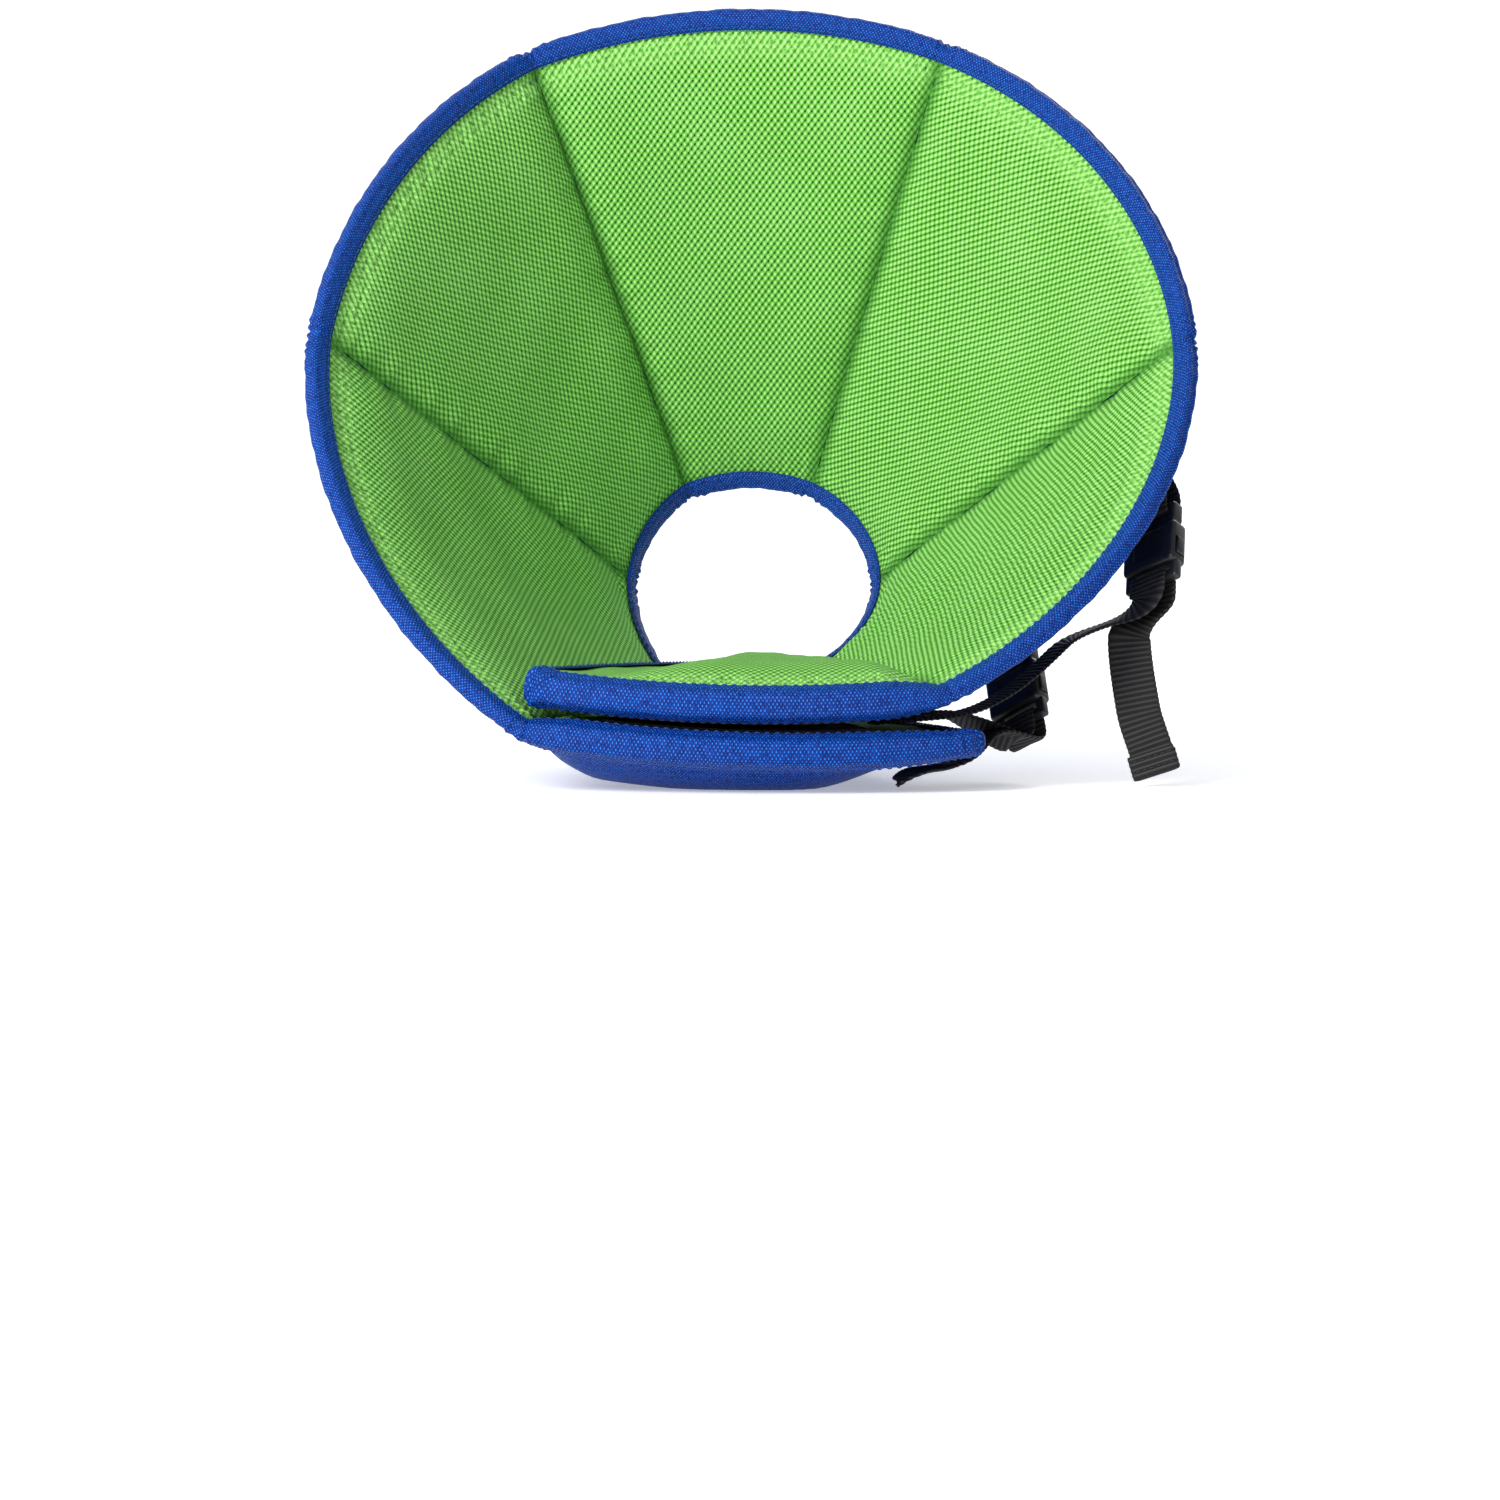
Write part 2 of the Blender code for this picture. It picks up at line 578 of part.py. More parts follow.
def strap(name, from_rim, hold, clear, near, far):
    """A strap from the outer flap's end, round its buckle's bar and down as a loose tail. The buckle's other
    half hangs from a short loop of webbing, sewn on the lower right panel."""
    out = RIM - from_rim

    def on_panel(place, raised):
        return face(1 + place[0], RIM - place[1], OUTSIDE, raised)

    # The buckle: its x runs down the strap and its z points away from the panel
    origin, x, y = (Vector(row) for row in HANGING[name][0])
    x.normalize()
    z = x.cross(y).normalized()
    y = z.cross(x)
    place = Matrix((x, y, z)).transposed().to_4x4()
    place.translation = origin + UP * FLOOR
    plug_half(f"buckle_plug_{name}", place)
    socket_half(f"buckle_socket_{name}", place)

    # The strap: sewn on the flap, out past its end, round the socket's bar and down
    width = per_panel(STRIP_END - 0.1, out)
    over_tape = LINING + TAPE + 3 * GAP + FACET_GAP + WEB / 2
    run = (middle(STRIP_END, out) - middle(STRIP_END - 0.1, out)).normalized()
    lead = []
    for distance in (SEWN, LAP, 0):
        at = STRIP_END - distance / width
        level = over_tape + (padding(STRIP_END - SEWN / width, out, INSIDE) - padding(at, out, INSIDE))
        lead.append((face(at, out, INSIDE, level), run, outwards(at, out)))
    bar_turn = turned(round_bar(SOCKET_FAR, SOCKET_FAR - BAR - SLOT / 2, LOOP_HALF, 1), place)
    if hold:
        up_panel = (on_panel((hold[0] + 0.05, hold[1]), 0) - on_panel((hold[0] - 0.05, hold[1]), 0)).normalized()
        lead.append((on_panel(hold, clear), up_panel, outwards(1 + hold[0], out)))
    lead.append((bar_turn[0][0], -x, bar_turn[0][1]))
    lead = in_sense(lead, lead[0][2])
    bar_turn = in_sense(bar_turn, lead[-1][2])
    hanging = [(bar_turn[-1][0], x, bar_turn[-1][1])]
    for at, run, across in HANGING[name][1:]:
        hanging.append((Vector(at) + UP * FLOOR, Vector(run).normalized(), Vector(across)))
    hanging = in_sense(hanging, bar_turn[-1][1])
    tail = smooth_path(hanging, 7)[1:]
    if name == "front":
        # Its end is folded over and sewn
        end, run, across = hanging[-1]
        tail += [(end + run * distance, across) for distance in (2 * GAP, TAIL_FOLD / 2, TAIL_FOLD)]
        tip = [FOLDED] * 3
    else:
        tip = POINTED
    webbing(f"strap_{name}", smooth_path(lead, 6)[:-1] + bar_turn + tail, tip)

    # The short loop that holds the plug
    loop_turn = turned(round_bar(PLUG_FAR, PLUG_FAR + BAR + SLOT / 2, PLUG_THICK / 2, -1), place)
    down_panel = (on_panel(near, 0) - on_panel(far, 0)).normalized()
    layers = []
    for raised in (FACET_GAP + WEB / 2, FACET_GAP + WEB * 1.5 + 2 * GAP):
        layer = []
        for end in (far, near):
            normal = inward_normal(1 + end[0], RIM - end[1])
            layer.append((on_panel(end, raised), down_panel, down_panel.cross(normal)))
        layers.append(in_sense(layer, loop_turn[0][1]))
    # The loop turns on the plug's bar, from along the panel to along the buckle
    to_plug = (x + 2 * down_panel).normalized()
    first = smooth_path([*layers[0], (loop_turn[0][0], to_plug, loop_turn[0][1])], 4)[:-1]
    back = [(point, -down_panel, across) for point, run, across in reversed(layers[1])]
    last = smooth_path([(loop_turn[-1][0], -to_plug, loop_turn[-1][1]), *back], 4)[1:]
    webbing(f"strap_anchor_{name}", first + loop_turn + last)


def settle(collection):
    """Sets the collar on z = 0, with the middle of its box over the origin."""
    bpy.context.view_layer.update()
    graph = bpy.context.evaluated_depsgraph_get()
    corners = []
    for made in collection.objects:
        evaluated = made.evaluated_get(graph)
        corners += [evaluated.matrix_world @ vert.co for vert in evaluated.data.vertices]
    xs, ys = [corner.x for corner in corners], [corner.y for corner in corners]
    shift = Vector((-(min(xs) + max(xs)) / 2, -(min(ys) + max(ys)) / 2, -FLOOR))
    for made in [*collection.objects, *CUTTERS.objects]:
        made.matrix_world = Matrix.Translation(shift) @ made.matrix_world


for old in list(bpy.data.objects):
    bpy.data.objects.remove(old, do_unlink=True)
COLLECTION = bpy.data.collections.new("recovery_collar")
CUTTERS = bpy.data.collections.new("cutters")
for group in (COLLECTION, CUTTERS):
    bpy.context.scene.collection.children.link(group)

BLUE = material("blue_oxford", (0.012, 0.06, 0.42), 0.62)
GREEN = material("green_air_mesh", (0.19, 0.56, 0.05), 0.8)
BLACK = material("black_webbing", (0.012, 0.012, 0.013), 0.75)
PLASTIC = material("black_plastic", (0.015, 0.016, 0.017), 0.38)

for number in range(len(PANELS)):
    padded_panel(number)
mesh_lining()
edge_binding()
fastening_tape("fastening_tape_inner_flap", INNER_FLAP, OUTSIDE, GAP, 0.09, 0.18)
fastening_tape("fastening_tape_outer_flap", OUTER_FLAP, INSIDE, LINING + 2 * GAP, 0.25, 0.17)
for row in STRAPS:
    strap(*row)
settle(COLLECTION)
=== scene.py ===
import math

import bmesh
import bpy
import numpy as np
from mathutils import Matrix, Vector


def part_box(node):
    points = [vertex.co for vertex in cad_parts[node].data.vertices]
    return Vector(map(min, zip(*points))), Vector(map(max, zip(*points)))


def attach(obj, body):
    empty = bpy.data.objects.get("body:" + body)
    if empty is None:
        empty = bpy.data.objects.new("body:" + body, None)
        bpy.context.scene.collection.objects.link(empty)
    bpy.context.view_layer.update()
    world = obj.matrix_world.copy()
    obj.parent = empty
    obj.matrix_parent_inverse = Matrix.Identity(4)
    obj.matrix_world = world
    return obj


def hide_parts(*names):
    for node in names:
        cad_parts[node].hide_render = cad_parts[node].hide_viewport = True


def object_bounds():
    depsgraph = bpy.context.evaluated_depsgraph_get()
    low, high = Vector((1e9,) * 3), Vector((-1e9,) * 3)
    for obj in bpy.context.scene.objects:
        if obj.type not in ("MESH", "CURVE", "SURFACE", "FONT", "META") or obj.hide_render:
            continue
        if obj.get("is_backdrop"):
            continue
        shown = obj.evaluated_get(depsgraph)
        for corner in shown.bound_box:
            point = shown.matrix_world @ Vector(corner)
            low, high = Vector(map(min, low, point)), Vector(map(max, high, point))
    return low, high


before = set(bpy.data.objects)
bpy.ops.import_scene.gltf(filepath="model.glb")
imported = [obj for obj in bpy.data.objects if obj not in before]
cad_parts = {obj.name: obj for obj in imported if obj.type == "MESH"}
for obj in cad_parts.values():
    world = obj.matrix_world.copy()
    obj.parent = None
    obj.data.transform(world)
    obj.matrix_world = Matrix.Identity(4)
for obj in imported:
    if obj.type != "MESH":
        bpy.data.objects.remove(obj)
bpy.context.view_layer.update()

# Camera, floor and light
# The camera looks into the wide rim, from 8 cm above the floor and a little downwards. The collar lies on a
# pale floor in a white studio, under soft boxes from the left and above.
EYE = (-0.0004, -1.1533, 0.0774)
LOOKING_DOWN = math.radians(3.47)
camera = bpy.data.objects.new("photo_camera", bpy.data.cameras.new("photo_camera"))
bpy.context.scene.collection.objects.link(camera)
camera.location = EYE
camera.rotation_euler = (math.radians(90) - LOOKING_DOWN, 0, 0)
camera.data.sensor_width = 36
camera.data.lens = 76.1
bpy.context.scene.camera = camera
bpy.context.scene.view_settings.view_transform = "Standard"

world = bpy.data.worlds.new("white_studio")
world.use_nodes = True
world.node_tree.nodes["Background"].inputs["Color"].default_value = (0.93, 0.96, 1.0, 1)
world.node_tree.nodes["Background"].inputs["Strength"].default_value = 0.38
bpy.context.scene.world = world

SOFT_BOXES = (
    # name, place, aimed at, side, watts
    ("key_box", (-1.0, -1.2, 0.9), (0.0, 0.0, 0.14), 0.5, 31),
    ("front_box", (-0.4, -1.8, 0.9), (0.0, 0.0, 0.1), 0.9, 6),
    ("back_box", (0.7, 1.3, 1.2), (0.0, 0.0, 0.1), 0.9, 12),
)
for name, place, aim, side, watts in SOFT_BOXES:
    lamp = bpy.data.lights.new(name, "AREA")
    lamp.energy = watts
    lamp.size = side
    box = bpy.data.objects.new(name, lamp)
    box.location = place
    box.rotation_euler = (Vector(aim) - Vector(place)).to_track_quat("-Z", "Y").to_euler()
    bpy.context.scene.collection.objects.link(box)

SWEEP_RADIUS, SWEEP_FROM, SWEEP_WIDTH = 0.9, 1.2, 8.0
profile = [(-4.0, 0.0)]
profile += [
    (SWEEP_FROM + SWEEP_RADIUS * math.sin(turn), SWEEP_RADIUS * (1 - math.cos(turn)))
    for turn in np.linspace(0, math.pi / 2, 25)
]
profile.append((SWEEP_FROM + SWEEP_RADIUS, 5.0))
sweep = bpy.data.meshes.new("pale_floor")
sweep.from_pydata(
    [(x, y, z) for x in (-SWEEP_WIDTH / 2, SWEEP_WIDTH / 2) for y, z in profile],
    [],
    [(k, k + len(profile), k + len(profile) + 1, k + 1) for k in range(len(profile) - 1)],
)
sweep.shade_smooth()
floor = bpy.data.objects.new("pale_floor", sweep)
bpy.context.scene.collection.objects.link(floor)
floor_finish = bpy.data.materials.new("pale_floor")
floor_finish.use_nodes = True
floor_finish.node_tree.nodes["Principled BSDF"].inputs["Base Color"].default_value = (0.86, 0.86, 0.86, 1)
floor_finish.node_tree.nodes["Principled BSDF"].inputs["Roughness"].default_value = 0.9
floor_finish.node_tree.nodes["Principled BSDF"].inputs["Emission Color"].default_value = (1, 1, 1, 1)
floor_finish.node_tree.nodes["Principled BSDF"].inputs["Emission Strength"].default_value = 0.36
floor.data.materials.append(floor_finish)
floor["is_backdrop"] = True

# Padded panels
# Seven fan-shaped pads: foam between cloths, sewn edge to edge into a strip and closed into a cone whose two
# end panels overlap. The outside is blue oxford cloth, with its puckers along the sewn seams.
RIM_RADIUS = 0.162
NECK_RADIUS = 0.052
WALL_LENGTH = 0.183
PAD_EDGE = 0.0016
PAD_BOUND = 0.0026
FLAP_BOUND = 0.0088
CROWN = 0.0052
SEAM_REACH = 0.022
CROWN_REACH = 0.030
LINING = 0.0012
TAPE = 0.0008
LAP = 0.0048
ROLL = 0.0028
CORNER = 0.014
HOOK_TAPE = 0.0014
TAPE_MARGIN = 0.004
FLATTENED = 0.0015
NECK_CUT = 0.009
GAP = 0.0003
FACET_GAP = 0.0006
FLAP_STEP = FLAP_BOUND + LINING + 2 * HOOK_TAPE + 7 * GAP

LEVEL = None
SEAMS = (
    # turn, spread, lift
    (-117.0, LEVEL, 0.62),  # inner flap's end
    (-68.2, LEVEL, 0.40),
    (-1.8, 0.931, 0.0),
    (63.3, 0.988, 0.0),
    (120.6, 1.064, 0.0),
    (180.1, 0.953, 0.0),
    (243.0, 1.066, -0.38),
    (296.6, LEVEL, -0.64),  # outer flap's end
)
RESTING_SEAM = 6
PANELS = (
    # name, bow, sag, crown inside, crown outside
    ("panel_inner_flap", 0.0, -0.28, 1.4, 0.0),
    ("panel_lower_right", 3.9, 0.0, 1.0, 1.0),
    ("panel_upper_right", 3.4, 0.0, 1.0, 1.0),
    ("panel_top", 2.6, 0.0, 1.0, 1.0),
    ("panel_upper_left", 1.7, 0.0, 1.0, 1.0),
    ("panel_lower_left", 3.5, 0.0, 1.0, 1.0),
    ("panel_outer_flap", 0.0, -0.31, 0.0, 2.0),
)
INNER_FLAP, OUTER_FLAP, STRIP_END = 0, len(PANELS) - 1, len(PANELS)
INSIDE, OUTSIDE = 1, -1
ENDS_FLAT = 0.17
FLAP_EDGE = 0.5
END_CROWN_REACH = 0.30
TAPER = 0.045

MEAN_SPREAD = math.asin((RIM_RADIUS - NECK_RADIUS) / WALL_LENGTH)
NECK = NECK_RADIUS / math.sin(MEAN_SPREAD)
RIM = NECK + WALL_LENGTH
RESTING_TURN = math.radians(SEAMS[RESTING_SEAM][0])
LIE = math.atan(-math.sin(RESTING_TURN) * math.tan(MEAN_SPREAD * SEAMS[RESTING_SEAM][1]))
AXIS = np.array((0, -math.cos(LIE), math.sin(LIE)))
ACROSS_UP = np.array((0, math.sin(LIE), math.cos(LIE)))
RIGHT = np.array((1.0, 0, 0))
UP = np.array((0, 0, 1.0))
FLOOR = (SEAMS[OUTER_FLAP][2] + SEAMS[STRIP_END][2]) / 2 + PANELS[OUTER_FLAP][2]
FLOOR = FLOOR * FLAP_STEP - FLAP_BOUND / 2 - PANELS[OUTER_FLAP][4] * CROWN + FLATTENED


def unit(vectors):
    return vectors / np.linalg.norm(vectors, axis=-1, keepdims=True)


def seam_direction(turn, spread):
    turn = math.radians(turn)
    angle = math.atan2(math.tan(LIE), -math.sin(turn)) if spread is LEVEL else MEAN_SPREAD * spread
    ring = RIGHT * math.cos(turn) + ACROSS_UP * math.sin(turn)
    return AXIS * math.cos(angle) + ring * math.sin(angle)


SEAM_DIRECTIONS = np.array([seam_direction(turn, spread) for turn, spread, lift in SEAMS])
LIFTS = np.array([lift for turn, spread, lift in SEAMS])
BOWS, SAGS, CROWNS_IN, CROWNS_OUT = np.array([row[1:] for row in PANELS]).T


def swell(share):
    """Rises from 0 to 1 along a parabola, steepest at 0."""
    return 1 - (1 - np.clip(share, 0, 1)) ** 2


def hump(share):
    return 4 * share * (1 - share)


def bell(distance, width):
    """1 at 0, and nearly nothing past two widths."""
    return np.exp(-((distance / width) ** 2))


def panel_number(along):
    return np.clip(np.floor(along), 0, OUTER_FLAP).astype(int)


def middle(along, out):
    """The middle of the wall: along counts panels from the inner flap's end, out is measured from the apex."""
    along, out = np.broadcast_arrays(np.asarray(along, float), np.asarray(out, float))
    number = panel_number(along)
    end_width = np.linalg.norm(SEAM_DIRECTIONS[1] - SEAM_DIRECTIONS[0])
    cut = NECK_CUT / (out * end_width) * (RIM - out) / WALL_LENGTH
    share = (np.where(along < 1, along + cut * (1 - along), along) - number)[..., None]
    first, second = SEAM_DIRECTIONS[number], SEAM_DIRECTIONS[number + 1]
    straight = unit(first * (1 - share) + second * share)
    bend = np.radians(BOWS[number])[..., None] * hump(share)
    outward = unit(np.cross(second, first))
    lift = LIFTS[number][..., None] * (1 - share) + LIFTS[number + 1][..., None] * share
    lift += SAGS[number][..., None] * hump(share)
    return (straight * np.cos(bend) + outward * np.sin(bend)) * out[..., None] + UP * lift * FLAP_STEP


STEP = 0.0025


def per_panel(along, out):
    """The width of one panel here."""
    small = 0.02
    return np.linalg.norm(middle(along + small, out) - middle(along - small, out), axis=-1) / (2 * small)


def outwards(along, out):
    return unit(middle(along, out + STEP) - middle(along, out - STEP))


def inward_normal(along, out):
    small = STEP / per_panel(along, out)
    onwards = middle(along + small, out) - middle(along - small, out)
    return unit(np.cross(outwards(along, out), onwards))


def padding(along, out, side):
    """Half the padding's thickness on one side of the wall's middle."""
    along, out = np.broadcast_arrays(np.asarray(along, float), np.asarray(out, float))
    number = panel_number(along)
    share = along - number
    width = per_panel(number + 0.5, out)
    pulled, crown = np.ones(along.shape), np.ones(along.shape)
    to_edge = np.minimum(RIM - out, out - NECK)
    nearest = to_edge
    for distance, seam in ((share, number), (1 - share, number + 1)):
        free = (seam == 0) | (seam == STRIP_END)
        crown = np.where(free, crown * swell((distance - ENDS_FLAT) / END_CROWN_REACH), crown)
        nearest = np.where(free, np.minimum(nearest, distance * width), nearest)
        pulled = np.where(free, pulled, pulled * swell(distance * width / SEAM_REACH))
    share_of_crown = (CROWNS_IN if side == INSIDE else CROWNS_OUT)[number]
    crown = crown * share_of_crown * CROWN * swell((to_edge - LAP) / CROWN_REACH)
    to_lap = np.clip(nearest / LAP, 0, 1)
    seam = PAD_EDGE + (PAD_BOUND - PAD_EDGE) * to_lap
    on_flap = (number == INNER_FLAP) | (number == OUTER_FLAP)
    bound = seam + np.where(on_flap, (FLAP_BOUND - PAD_BOUND) * (FLAP_EDGE + (1 - FLAP_EDGE) * to_lap), 0)
    bound = np.where(along > STRIP_END - 1, bound * (0.3 + 0.7 * swell((STRIP_END - along) * width / TAPER)), bound)
    return seam / 2 + pulled * ((bound - seam) / 2 + crown)


def face(along, out, side, raised=0.0):
    """Points on the padding's face, or raised off it. The floor flattens what rests on it."""
    depth = padding(along, out, side) + raised
    points = middle(along, out) + inward_normal(along, out) * side * depth[..., None]
    points[..., 2] = np.maximum(points[..., 2], FLOOR)
    return points


def corner_inset(along, out):
    """How far the strip's rounded corners take its long edges in."""
    along = np.asarray(along, float)
    to_end = np.minimum(along, STRIP_END - along) * per_panel(np.clip(along, 0.5, STRIP_END - 0.5), out)
    inset = CORNER - np.sqrt(np.maximum(CORNER**2 - (CORNER - to_end) ** 2, 0))
    return np.where(to_end >= CORNER, 0.0, inset)


def rim_edge(along):
    return RIM - corner_inset(along, RIM)


def neck_edge(along):
    return NECK + corner_inset(along, NECK)


def eased(count):
    return 0.5 - 0.5 * np.cos(np.pi * np.arange(count + 1) / count)


# The apex's place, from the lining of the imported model: its lowest corner is worked out here on the same places
CAD_CELLS = {INNER_FLAP: 12, OUTER_FLAP: 12}
cad_columns = [n + share for n in range(STRIP_END) for share in eased(CAD_CELLS.get(n, 10))[:-1]] + [STRIP_END]
cad_columns = np.array(cad_columns)
cad_rows = np.concatenate(([0.0], eased(5), [1.0]))
low, high = neck_edge(cad_columns)[:, None], rim_edge(cad_columns)[:, None]
cad_outs = low + LAP + cad_rows * (high - low - 2 * LAP)
cad_outs[:, 0], cad_outs[:, -1] = low[:, 0], high[:, 0]
corners = face(cad_columns[:, None], cad_outs, INSIDE, GAP + LINING)
beneath = face(cad_columns[:, None], cad_outs, INSIDE, GAP)
lowest = np.minimum(corners.min((0, 1)), beneath.min((0, 1)))
APEX = np.array(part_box("mesh_lining")[0]) - lowest
APEX[2] = -FLOOR


def ripple(place, seed, lengths, size):
    """A smooth irregular wave along a place in metres, between about -size and size."""
    random = np.random.default_rng(seed)
    wave = np.zeros(np.shape(place))
    for length in lengths:
        wave = wave + np.sin(2 * np.pi * place / length + random.uniform(0, 2 * np.pi))
    return wave * size / len(lengths)


def loft(name, rings, surface, uv, closed=False, ring_closed=True, capped=False, more_uv=()):
    """A mesh through rings of points. uv has one more row or column than the rings where they close."""
    n, m = rings.shape[:2]
    i, j = np.meshgrid(np.arange(n if closed else n - 1), np.arange(m if ring_closed else m - 1), indexing="ij")
    i, j = i.ravel(), j.ravel()
    far_i, far_j = (i + 1) % n, (j + 1) % m
    faces = np.stack([i * m + j, i * m + far_j, far_i * m + far_j, far_i * m + j], 1).tolist()
    layers = [
        np.stack([each[i, j], each[i, j + 1], each[i + 1, j + 1], each[i + 1, j]], 1).reshape(-1, 2)
        for each in (uv, *more_uv)
    ]
    if capped:
        for start in (0, (n - 1) * m):
            for k in range(m // 2 - 1):
                faces.append([start + k, start + k + 1, start + m - 2 - k, start + m - 1 - k])
                ends = np.zeros((4, 2)) + uv[0, k]
                layers = [np.concatenate([layer, ends]) for layer in layers]
    mesh = bpy.data.meshes.new(name)
    mesh.from_pydata((rings.reshape(-1, 3) + APEX).tolist(), [], faces)
    for k, layer in enumerate(layers):
        mesh.uv_layers.new(name=("pattern", "from_rim", "from_seam")[k]).data.foreach_set("uv", layer.ravel())
    mesh.shade_smooth()
    if capped or closed:
        bm = bmesh.new()
        bm.from_mesh(mesh)
        bmesh.ops.recalc_face_normals(bm, faces=bm.faces)
        bm.to_mesh(mesh)
        bm.free()
        mesh.set_sharp_from_angle(angle=math.radians(50))
    mesh.materials.append(surface)
    made = bpy.data.objects.new(name, mesh)
    bpy.context.scene.collection.objects.link(made)
    return made


def node(tree, kind, settings=None, **links):
    """A shader node with its settings, and its inputs linked or set. An input's name has _ for a space."""
    made = tree.nodes.new("ShaderNode" + kind)
    for key, value in (settings or {}).items():
        setattr(made, key, value)
    for key, value in links.items():
        socket = made.inputs[int(key[1:])] if key[1:].isdigit() else made.inputs[key.replace("_", " ")]
        if isinstance(value, bpy.types.NodeSocket):
            tree.links.new(value, socket)
        else:
            socket.default_value = value
    return made


def calc(tree, operation, a, b=0.0, c=0.0):
    return node(tree, "Math", {"operation": operation}, i0=a, i1=b, i2=c).outputs[0]


def smooth(tree, value, low, high):
    """0 below low, 1 above high, and smooth between."""
    made = node(tree, "MapRange", {"interpolation_type": "SMOOTHSTEP"}, Value=value)
    made.inputs["From Min"].default_value = low
    made.inputs["From Max"].default_value = high
    return made.outputs["Result"]


def blend_colours(tree, share, first, second):
    made = node(tree, "Mix", {"data_type": "RGBA"}, Factor=share)
    for socket, value in ((made.inputs[6], first), (made.inputs[7], second)):
        if isinstance(value, bpy.types.NodeSocket):
            tree.links.new(value, socket)
        else:
            socket.default_value = value
    return made.outputs[2]


def new_group(name, inputs, outputs):
    """A node group with named sockets. Each is (name, type, default)."""
    tree = bpy.data.node_groups.new(name, "ShaderNodeTree")
    for direction, sockets in (("INPUT", inputs), ("OUTPUT", outputs)):
        for label, kind, default in sockets:
            made = tree.interface.new_socket(name=label, in_out=direction, socket_type="NodeSocket" + kind)
            if default is not None:
                made.default_value = default
    return tree, tree.nodes.new("NodeGroupInput").outputs, tree.nodes.new("NodeGroupOutput").inputs


def cells(tree, pattern, across, down):
    """A wave of cells staggered row by row: 1 in the middle of each, and -1 half way between two."""
    parts = node(tree, "SeparateXYZ", Vector=pattern)
    columns = calc(tree, "COSINE", calc(tree, "DIVIDE", calc(tree, "MULTIPLY", parts.outputs[0], math.tau), across))
    rows = calc(tree, "COSINE", calc(tree, "DIVIDE", calc(tree, "MULTIPLY", parts.outputs[1], math.tau), down))
    return calc(tree, "MULTIPLY", columns, rows)


def oxford_weave():
    """Coarse oxford cloth: staggered yarn crossings painted brighter as highlights, over a deeper ground."""
    tree, given, result = new_group(
        "oxford_weave",
        [
            ("Pattern", "Vector", None),
            ("Across", "Float", 0.00105),
            ("Down", "Float", 0.0013),
            ("Deep", "Color", (0.001, 0.010, 0.13, 1)),
            ("Bright", "Color", (0.030, 0.26, 0.85, 1)),
        ],
        [("Color", "Color", None), ("Roughness", "Float", None), ("Height", "Float", None)],
    )
    crossing = cells(tree, given["Pattern"], given["Across"], given["Down"])
    uneven = node(tree, "TexNoise", Vector=given["Pattern"], Scale=900.0, Detail=2.0).outputs[0]
    patches = node(tree, "TexNoise", Vector=given["Pattern"], Scale=420.0, Detail=3.0).outputs[0]
    yarn = smooth(tree, crossing, 0.25, 0.95)
    yarn = calc(tree, "MULTIPLY", yarn, smooth(tree, uneven, 0.30, 0.60))
    ground = blend_colours(tree, smooth(tree, patches, 0.2, 0.8), given["Deep"], (0.001, 0.038, 0.28, 1))
    # Painted highlight: the yarn crossings are mixed towards a bright blue
    tree.links.new(blend_colours(tree, yarn, ground, given["Bright"]), result["Color"])
    tree.links.new(calc(tree, "MULTIPLY_ADD", yarn, -0.20, 0.52), result["Roughness"])
    tree.links.new(calc(tree, "MULTIPLY_ADD", crossing, 0.5, 0.5), result["Height"])
    return tree


OXFORD = oxford_weave()


def finish(name, group, bump, sheen=0.0, sheen_tint=(1, 1, 1, 1), specular=0.45, values=None, layers=("pattern",)):
    """A material from one of the groups, with its height as a bump."""
    made = bpy.data.materials.new(name)
    made.use_nodes = True
    tree = made.node_tree
    shader = tree.nodes["Principled BSDF"]
    effect = tree.nodes.new("ShaderNodeGroup")
    effect.node_tree = group
    for label, layer in zip(("Pattern", "From Rim", "From Seam"), layers):
        tree.links.new(node(tree, "UVMap", {"uv_map": layer}).outputs[0], effect.inputs[label])
    for label, value in (values or {}).items():
        effect.inputs[label].default_value = value
    raised = node(tree, "Bump", Height=effect.outputs["Height"], Strength=1.0, Distance=bump)
    tree.links.new(effect.outputs["Color"], shader.inputs["Base Color"])
    tree.links.new(effect.outputs["Roughness"], shader.inputs["Roughness"])
    tree.links.new(raised.outputs[0], shader.inputs["Normal"])
    shader.inputs["Sheen Weight"].default_value = sheen
    shader.inputs["Sheen Tint"].default_value = sheen_tint
    shader.inputs["Specular IOR Level"].default_value = specular
    return made


BLUE_CLOTH = finish("blue_oxford_cloth", OXFORD, 0.00022, specular=0.12)


def flat_pattern(along, out, number):
    """Where a place lies on its panel's flat piece of cloth, in metres."""
    fan = math.acos(float(np.dot(SEAM_DIRECTIONS[number], SEAM_DIRECTIONS[number + 1])))
    turn = (along - number - 0.5) * fan
    return np.stack([out * np.sin(turn), out * np.cos(turn)], -1)


def seam_distances(along, out, number):
    """How far a place is from its panel's two seams, with free ends left out."""
    width = per_panel(number + 0.5, out)
    first, second = (along - number) * width, (number + 1 - along) * width
    far = np.full(np.shape(first), 1.0)
    return (far if number == INNER_FLAP else first), (far if number == OUTER_FLAP else second)


PUCKER = 0.0007


